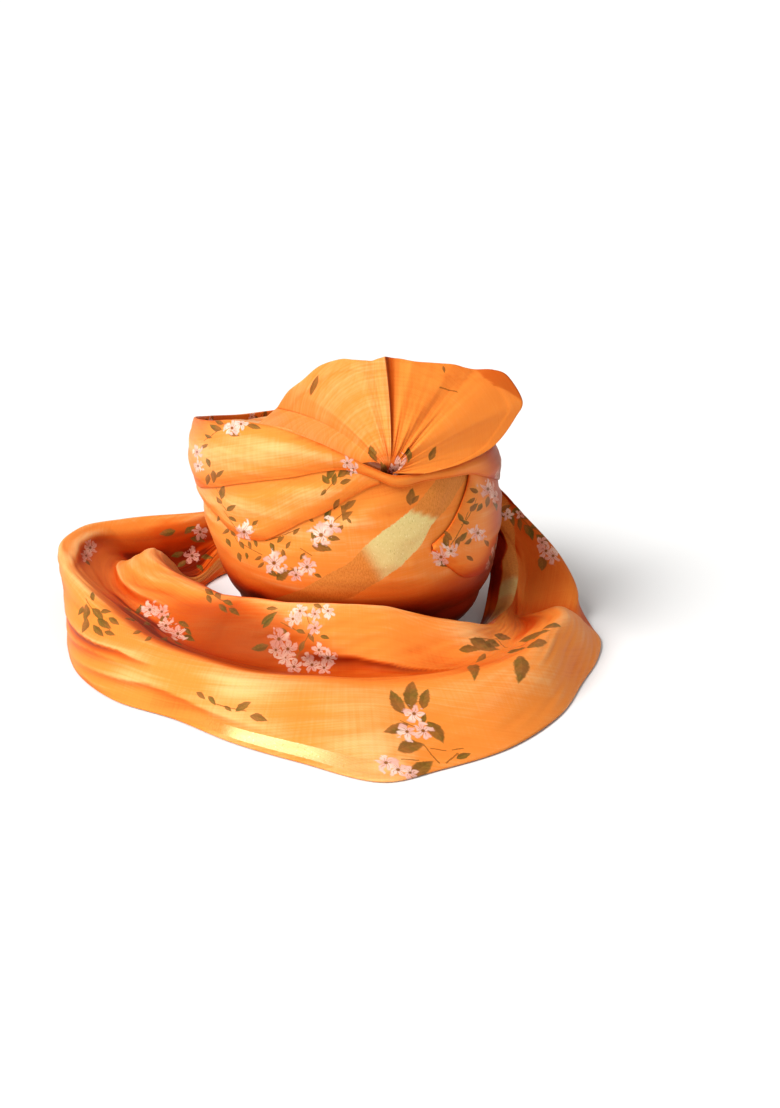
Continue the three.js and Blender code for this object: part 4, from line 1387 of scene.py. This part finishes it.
TAIL_CLOTH = 0.002
TAIL_SEAT = 0.0005
TAIL_SPREAD = 0.200
TAIL_RISE = 0.074
TAIL_ATTACH = 0.5156 * CROWN_HEIGHT
TAIL_THICK = 0.0008
TAIL_LONG, TAIL_WIDE = 344, 136
TAIL_CREASE, TAIL_FINE_CREASE = 0.0007, 0.00022
TAIL_OFF_TABLE = 0.0007
TAIL_FOLDS_FROM, TAIL_FOLDS_FULL = 0.0005, 0.006
TAIL_FOLD_SCALE = 0.005
OUTER_STRIPE_MIDDLE, OUTER_STRIPE_HALF = 0.968, 0.018
OUTER_STRIPE_FROM = 0.88

# turn, then out and rise of the inner hem, the crest, the valley, the ridge and the outer hem
TAIL_HANGING = [
    (156, -0.02, 0.83, -0.018, 0.86, -0.018, 0.89, -0.018, 0.92, -0.02, 0.95),
    (140, 0.01, 0.72, 0.025, 0.8, 0.015, 0.87, 0.03, 0.94, 0.005, 1),
    (126, 0.01, 0.64, 0.04, 0.72, 0.03, 0.82, 0.07, 0.92, 0.05, 0.98),
    (116, 0.005, 0.55, 0.04, 0.66, 0.03, 0.74, 0.11, 0.86, 0.09, 0.9),
    (107, 0.01, 0.45, 0.07, 0.55, 0.09, 0.6, 0.18, 0.72, 0.2, 0.68),
    (98, 0.04, 0.33, 0.12, 0.43, 0.18, 0.4, 0.31, 0.48, 0.38, 0.36),
    (90, 0.08, 0.21, 0.15, 0.31, 0.24, 0.23, 0.43, 0.28, 0.57, 0.11),
    (83, 0.12, 0.12, 0.19, 0.21, 0.3, 0.1, 0.48, 0.16, 0.65, 0.03),
]
TAIL_LYING = [
    (76, 0.13, 0.11, 0.18, 0.32, 0.27, 0.24, 0.4, 0.42, 0.7, 0.04),
    (66, 0.13, 0.06, 0.16, 0.33, 0.3, 0.3, 0.43, 0.51, 0.73, 0.02),
    (54, 0.12, 0.04, 0.15, 0.43, 0.31, 0.36, 0.45, 0.57, 0.76, 0.02),
    (40, 0.1, 0.04, 0.13, 0.65, 0.34, 0.4, 0.52, 0.57, 0.87, 0.02),
    (26, 0.1, 0.04, 0.07, 0.82, 0.33, 0.36, 0.54, 0.54, 0.98, 0.02),
    (14, 0.1, 0.04, 0.04, 0.97, 0.31, 0.34, 0.52, 0.51, 1.05, 0.02),
    (6, 0.1, 0.04, 0.04, 1, 0.29, 0.32, 0.51, 0.51, 1.11, 0.02),
    (-6, 0.1, 0.04, 0.04, 1, 0.3, 0.32, 0.5, 0.54, 0.95, 0.02),
    (-18, 0.09, 0.04, 0.05, 0.96, 0.34, 0.34, 0.53, 0.57, 0.86, 0.02),
    (-32, 0.08, 0.05, 0.05, 0.91, 0.38, 0.36, 0.53, 0.59, 0.8, 0.02),
    (-46, 0.07, 0.08, 0.06, 0.8, 0.41, 0.38, 0.57, 0.63, 0.86, 0.02),
    (-60, 0.08, 0.14, 0.09, 0.7, 0.42, 0.4, 0.59, 0.68, 0.88, 0.02),
    (-74, 0.13, 0.19, 0.15, 0.68, 0.48, 0.43, 0.65, 0.76, 0.87, 0.03),
    (-87, 0.22, 0.19, 0.27, 0.7, 0.56, 0.46, 0.73, 0.82, 0.87, 0.06),
    (-98, 0.28, 0.14, 0.37, 0.74, 0.6, 0.52, 0.8, 0.84, 0.92, 0.14),
    (-105, 0.3, 0.1, 0.4, 0.7, 0.6, 0.48, 0.8, 0.84, 0.93, 0.17),
    (-110, 0.33, 0.05, 0.43, 0.44, 0.59, 0.32, 0.77, 0.84, 0.92, 0.18),
    (-116, 0.36, 0.03, 0.42, 0.2, 0.53, 0.22, 0.68, 0.82, 0.88, 0.15),
    (-122, 0.38, 0.02, 0.4, 0.17, 0.47, 0.24, 0.58, 0.81, 0.82, 0.12),
    (-132, 0.39, 0.02, 0.38, 0.3, 0.41, 0.38, 0.42, 0.8, 0.7, 0.05),
    (-146, 0.37, 0.02, 0.34, 0.46, 0.37, 0.49, 0.36, 0.78, 0.64, 0.03),
    (-162, 0.3, 0.02, 0.28, 0.41, 0.32, 0.41, 0.33, 0.68, 0.57, 0.02),
    (-180, 0.26, 0.02, 0.25, 0.3, 0.31, 0.27, 0.32, 0.46, 0.51, 0.02),
]


def crown_reach(turn, z):
    lean, half_width, half_depth = crown_size(z)
    x = np.sin(np.radians(turn)) / half_width
    y = np.cos(np.radians(turn)) / half_depth
    square = x**2 + y**2
    half = x * lean / half_width
    reach = (half + np.sqrt(half**2 - square * ((lean / half_width) ** 2 - 1))) / square
    return reach + stack_under(len(WRAPS), turn, z)


def tail_point(row, column, height):
    turn, out, rise = row[0], row[column], row[column + 1]
    z = rise * height
    reach = crown_reach(np.array(float(turn)), np.array(z)) + TAIL_SEAT + TAIL_CLOTH / 2
    reach = float(reach) + out * TAIL_SPREAD
    angle = math.radians(turn)
    return [reach * math.sin(angle), -reach * math.cos(angle), z]


def through(points, places):
    """Points on a smooth line through the given ones. Places go from 0 to 1, and the first
    direction of points is along the line."""
    points = np.asarray(points, float)
    points = np.concatenate([2 * points[:1] - points[1:2], points, 2 * points[-1:] - points[-2:-1]])
    count = len(points) - 3
    at = np.asarray(places, float) * count
    row = np.minimum(at.astype(int), count - 1)
    t = (at - row).reshape((-1,) + (1,) * (points.ndim - 1))
    a, b, c, d = (points[row + n] for n in range(4))

    def knot(p, q):
        return np.maximum(((q - p) ** 2).sum(-1, keepdims=True), 1e-16) ** 0.25

    before, here, after = knot(a, b), knot(b, c), knot(c, d)
    first = ((b - a) / before - (c - a) / (before + here) + (c - b) / here) * here
    second = ((c - b) / here - (d - b) / (here + after) + (d - c) / after) * here
    return (b + first * t + (-3 * b + 3 * c - 2 * first - second) * t**2
            + (2 * b - 2 * c + first + second) * t**3)


tail_rows = [(row, TAIL_ATTACH) for row in TAIL_HANGING] + [(row, TAIL_RISE) for row in TAIL_LYING]
tail_lines = np.array([[tail_point(row, column, height) for column in (1, 3, 5, 7, 9)]
                       for row, height in tail_rows])
tail_guides = through(tail_lines, np.linspace(0, 1, TAIL_LONG + 1))
tail_grid = through(tail_guides.transpose(1, 0, 2), np.linspace(0, 1, TAIL_WIDE + 1))
tail_grid = tail_grid.transpose(1, 0, 2) + AXIS
tail_turns = [row[0] for row, _ in tail_rows]
tail_turn = np.interp(np.linspace(0, len(tail_turns) - 1, TAIL_LONG + 1),
                      np.arange(len(tail_turns)), tail_turns)
tail_v = np.linspace(0, 1, TAIL_WIDE + 1)

# Folds of the tail: lines of (turn, share across it), how wide they are towards the crown and
# away from it as shares, how high they stand in mm, and how dark the painted shadow is just past
# them, or on the crown's side of them where the number is negative
TAIL_FOLDS = [
    # The drop
    ([(124, 0.7), (112, 0.62), (98, 0.5), (86, 0.46)], 0.12, 0.05, 1.6, 0.15),
    ([(108, 0.9), (96, 0.86), (84, 0.8)], 0.08, 0.03, 1.6, 0.2),
    # The front, right of the middle
    ([(30, 0.6), (21, 0.5), (13, 0.455), (4, 0.43), (-4, 0.425), (-14, 0.42)],
     0.07, 0.018, 3.2, 0.75),
    ([(56, 0.86), (36, 0.84), (14, 0.82), (-6, 0.83)], 0.07, 0.05, 1.6, 0.1),
    ([(44, 0.64), (24, 0.67), (6, 0.67), (-10, 0.68)], 0.05, 0.05, 1.8, 0.0),
    # The front, left of the middle
    ([(-4, 0.58), (-30, 0.56), (-55, 0.58), (-78, 0.6)], 0.05, 0.03, 2.2, 0.1),
    ([(-8, 0.93), (-26, 0.925), (-40, 0.905), (-50, 0.93), (-60, 0.955), (-72, 0.985)],
     0.04, 0.015, 2.4, 0.45),
    ([(-40, 0.84), (-50, 0.845), (-58, 0.872), (-67, 0.89), (-75, 0.9), (-88, 0.92)],
     0.04, 0.013, 3.8, 1.0),
    ([(-44, 0.87), (-52, 0.885), (-60, 0.905), (-70, 0.935), (-82, 0.96)], 0.025, 0.014, 2.2, 0.4),
    ([(-46, 0.975), (-56, 0.985), (-70, 1.0)], 0.03, 0.014, 1.8, 0.4),
    # The rolled fold at the left end
    ([(-62, 0.31), (-78, 0.34), (-92, 0.38), (-106, 0.4)], 0.05, 0.03, 4.0, 0.15),
    ([(-66, 0.41), (-80, 0.44), (-94, 0.47), (-108, 0.52)], 0.04, 0.018, 3.4, 0.5),
    ([(-86, 0.7), (-94, 0.66), (-101, 0.654), (-112, 0.66)], 0.014, 0.035, 4.4, -0.4),
    # The back
    ([(-106, 0.62), (-135, 0.6), (-165, 0.6)], 0.05, 0.03, 3.5, 0.3),
    ([(-112, 0.4), (-140, 0.42), (-175, 0.4)], 0.04, 0.03, 3.0, 0.3),
    ([(-120, 0.7), (-140, 0.7), (-165, 0.72)], 0.05, 0.03, 2.6, 0.25),
]
# How dark the painted shade in the valley between the tail's crest and its ridge is: turn, first
# share and last share across, depth
TAIL_VALLEY = [
    (-150, 0.45, 0.66, 0.35), (-124, 0.35, 0.66, 0.62), (-112, 0.3, 0.66, 0.68),
    (-104, 0.5, 0.68, 0.3), (-90, 0.46, 0.7, 0.16), (-75, 0.4, 0.73, 0.2), (-60, 0.34, 0.75, 0.5),
    (-40, 0.3, 0.755, 0.74), (-20, 0.34, 0.75, 0.72), (-8, 0.4, 0.71, 0.6), (6, 0.47, 0.66, 0.45),
    (24, 0.46, 0.6, 0.28), (50, 0.45, 0.6, 0.15), (70, 0.35, 0.65, 0.4), (84, 0.1, 0.4, 0.4),
    (98, -0.1, 0.12, 0.75), (106, -0.1, 0.3, 0.8), (118, -0.1, 0.5, 0.7), (130, -0.1, 0.6, 0.1),
]


def tail_relief(turn, v):
    total = np.zeros(np.broadcast(turn, v).shape)
    shadow = np.zeros(total.shape)
    for line, before, after, height, dark in TAIL_FOLDS:
        line = np.array(line[::-1], float)
        middle = np.interp(turn, line[:, 0], line[:, 1])
        ends = (turn - line[0, 0]) / (line[-1, 0] - line[0, 0])
        fade = np.sin(np.pi * np.clip(ends, 0, 1)) ** 0.6
        width = np.where(v < middle, before, after)
        total = total + height * MM * fade * np.exp(-((v - middle) / width) ** 2)
        past = (v - middle) / (1.5 * after + 0.006) * np.sign(dark)
        shadow = shadow + abs(dark) * fade * smooth(past, 0.0, 0.35) * np.exp(-past**2)
    lying = 1 - 0.8 * smooth(turn, 62, 88)
    creases = TAIL_CREASE * waves(turn, v, 91, 14, 9, 0.2) * smooth(v, 0.0, 0.1)
    total = total + (creases + TAIL_FINE_CREASE * waves(turn, v, 93, 18, 40, 0.05)) * lying
    valley = np.array(TAIL_VALLEY)
    first, last, depth = (np.interp(turn, valley[:, 0], valley[:, n]) for n in (1, 2, 3))
    shadow = shadow + depth * (smooth(v, first - 0.07, first + 0.05)
                               * (1 - smooth(v, last - 0.06, last + 0.03)))
    # The drop is in the shade too, most of all where it leaves the crown and at its lower corner
    behind = smooth(turn, 76, 96) * (1 - smooth(turn, 118, 132))
    behind = behind * (0.34 + 0.3 * smooth(turn, 98, 114) * smooth(v, 0.55, 0.8))
    corner = smooth(turn, 76, 84) * (1 - smooth(turn, 90, 96)) * smooth(v, 0.84, 0.94)
    return total, np.clip(shadow + behind + 0.35 * corner, 0, 1)


relief, tail_shadow = tail_relief(tail_turn[:, None], tail_v[None, :])
rest = smooth(tail_grid[..., 2], TAIL_FOLDS_FROM, TAIL_FOLDS_FULL)
hanging = smooth(tail_turn, 150, 120)[:, None]
tail_grid = tail_grid + surface_normal(tail_grid) * (relief * rest * hanging)[..., None]
tail_grid[..., 2] = np.maximum(tail_grid[..., 2], TAIL_OFF_TABLE)
tail_places = cloth_places(tail_grid)


def along_tail(turns, values):
    """A number that changes along the tail, from place to place by its turn."""
    return np.interp(tail_turn, turns, values)[:, None]


across_tail = tail_v[None, :]
# Painted light and shade on top of what the folds alone give: the face that leans to the table is
# painted paler in some places and deeper in others, the ridge at the front's right deeper, and the
# inner side of the ridge at the left end, like the outer face, is kept out of the painted shade of
# hollows
outer_face_lighting = smooth(across_tail, 0.72, 0.84) * along_tail(
    [-110, -70, -30, 0, 30, 60], [-0.4, -0.3, 0.05, 0.15, 0.0, -0.12])
right_ridge_shade = smooth(across_tail, 0.54, 0.62) * (1 - smooth(across_tail, 0.7, 0.8)) * along_tail(
    [-16, -4, 30, 70], [0, 0.3, 0.35, 0.1])
in_light = smooth(across_tail, 0.5, 0.6) * (1 - smooth(across_tail, 0.76, 0.84)) * along_tail(
    [-112, -104, -80, -60], [0, 0.72, 0.72, 0])
outside = smooth(across_tail, 0.72, 0.78)
# The inner stripe shows on the drop, the outer one where the front hem turns up
inner_middle = along_tail([60, 70, 90, 100, 104, 108, 115],
                          [0.14, 0.17, 0.2, 0.25, 0.4, 0.5, 0.62])
inner_half = along_tail([60, 80, 90, 104], [0.06, 0.08, 0.1, 0.13])
inner_stripe = (across_tail - inner_middle) / inner_half
outer_stripe = (OUTER_STRIPE_MIDDLE - across_tail) / OUTER_STRIPE_HALF
at_inner = across_tail < OUTER_STRIPE_FROM
on_stripe = (1 - smooth(np.abs(inner_stripe), 0.8, 1.1)) * at_inner
# Painted highlights where the stripes catch the light
inner_shine = along_tail([80, 85, 87, 91, 93, 120], [0.1, 0.3, 0.8, 0.8, 0.1, 0.0])
outer_shine = along_tail([-21, -17, -4, 4], [0.1, 1, 1, 0])
outer_shown = along_tail([-30, -19, -2, 6], [0, 1, 1, 0])
# The tail's painted light and shade: highlight and shade by its folds and the zones above, shade of
# hollows, and painted shadow, less of it on the inner stripe
tail_values = {
    "fold": 0.9 * surface_fold(tail_grid, 7, TAIL_FOLD_SCALE) + outer_face_lighting - right_ridge_shade,
    "open": np.maximum(open_share(tail_grid), np.maximum(in_light, outside)),
    "shadow": tail_shadow * (1 - 0.7 * on_stripe),
    "stripe": np.clip(np.where(at_inner, inner_stripe, outer_stripe), -STRIPE_FAR, STRIPE_FAR),
    "stripe_shine": np.where(at_inner, inner_shine, outer_shine),
    "stripe_shown": np.where(at_inner, 1, outer_shown),
}
TAIL_PRINT = [
    # On the drop at the right
    ("bloom", (546, 551, 554, 549), (553, 556, 560, 560)),
    ("leaf", (541, 556, 542, 572, 1.5), (524, 524, 534, 540), (536, 534, 548, 548)),
    # Across the right turn of the front
    ("leaf", (458, 650, 482, 650, 0.8), (468, 640, 500, 654, 0.9), (484, 642, 500, 648, 1.4),
     (486, 653, 475, 666), (469, 657, 476, 681, 1.2), (520, 654, 519, 683, 1.3),
     (493, 637, 513, 639), (517, 642, 553, 631, 0.7), (526, 647, 549, 641),
     (541, 628, 562, 624, 0.8), (507, 656, 527, 646, 0.8)),
    ("stem", (470, 638, 498, 640), (508, 652, 536, 640), (498, 640, 508, 652)),
    # The large cluster in the middle of the front
    ("bloom", (300, 611, 307, 608), (293, 619, 300, 623), (315, 614, 320, 609),
     (328, 611, 334, 607), (315, 628, 322, 626), (279, 639, 289, 637), (288, 649, 297, 646),
     (285, 658, 293, 656), (294, 667, 302, 664), (319, 650, 326, 648), (308, 659, 314, 656),
     (312, 665, 320, 661), (328, 658, 337, 656), (324, 668, 331, 665), (276, 650, 283, 653)),
    ("leaf", (269, 645, 250, 649), (261, 625, 279, 611, 0.7), (263, 629, 275, 616, 0.7),
     (266, 609, 279, 609, 0.8), (278, 629, 289, 635), (313, 604, 323, 609), (326, 606, 345, 600),
     (308, 633, 314, 643), (320, 636, 330, 639), (300, 652, 305, 640), (296, 630, 306, 634),
     (340, 604, 356, 601)),
    ("stem", (291, 669, 309, 634), (280, 622, 300, 632), (305, 610, 312, 632)),
    # The sprig at the lower right
    ("leaf", (404, 714, 391, 688), (411, 709, 414, 678, 1.1), (423, 710, 429, 687),
     (407, 723, 384, 733), (423, 724, 426, 713), (429, 722, 441, 744, 1.2),
     (400, 752, 423, 744, 1.3), (414, 779, 432, 760, 1.1), (458, 760, 470, 753)),
    ("bloom", (414, 714, 423, 711), (407, 732, 415, 735), (423, 731, 432, 729),
     (386, 763, 394, 759), (398, 770, 406, 767), (410, 773, 416, 770)),
    ("stem", (401, 721, 414, 727), (426, 746, 437, 764), (433, 750, 453, 751), (453, 751, 462, 748),
     (457, 753, 447, 764), (403, 760, 417, 760)),
    # The left end and the left of the front
    ("bloom", (90, 548, 96, 544), (86, 556, 92, 553), (150, 610, 158, 606), (162, 612, 168, 616),
     (166, 626, 174, 622), (178, 634, 186, 630)),
    ("leaf", (84, 560, 90, 566), (88, 604, 84, 622), (92, 608, 104, 622), (96, 620, 112, 630),
     (92, 626, 104, 638), (88, 618, 82, 634), (108, 618, 120, 626), (142, 606, 134, 616),
     (152, 618, 142, 628), (178, 622, 190, 628), (182, 636, 196, 642), (160, 622, 172, 614),
     (168, 636, 158, 644), (132, 612, 124, 607), (136, 620, 124, 619), (142, 630, 132, 634),
     (152, 636, 144, 642), (184, 628, 192, 636), (174, 640, 182, 647), (146, 612, 140, 604),
     (94, 602, 92, 590), (100, 612, 112, 612), (84, 606, 78, 616), (104, 632, 116, 636),
     (196, 692, 206, 700), (208, 696, 216, 706), (236, 712, 252, 702), (250, 716, 268, 722),
     (224, 706, 232, 712)),
    ("stem", (140, 618, 176, 630), (86, 598, 108, 634), (130, 610, 146, 634), (214, 704, 246, 712)),
    # The turn at the back left, behind the crown
    ("bloom", (200, 532, 207, 529), (192, 556, 200, 553)),
    ("leaf", (176, 530, 158, 534), (184, 534, 196, 526), (190, 538, 206, 542), (184, 552, 170, 556),
     (186, 560, 176, 568), (200, 560, 214, 556), (196, 564, 204, 572), (206, 582, 214, 590),
     (214, 590, 222, 602), (204, 588, 214, 598), (222, 600, 234, 606), (218, 604, 228, 614),
     (206, 594, 212, 606), (228, 608, 240, 616)),
    ("stem", (204, 586, 234, 612)),
]
tail_end = tail_places[-1, 0, 0]
tail_hidden = [(tail_end * 0.86, tail_end * 0.98, 0.03, 0.22), (0.02, 0.12, 0.02, 0.06)]
tail = printed_cloth("tail_cloth", tail_grid, tail_places, TAIL_PRINT, sprays(51, tail_hidden),
                     **tail_values)
finish_sheet(tail, TAIL_THICK, STRIPED_SILK, offset=0.0)
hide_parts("tail")


bpy.context.view_layer.update()
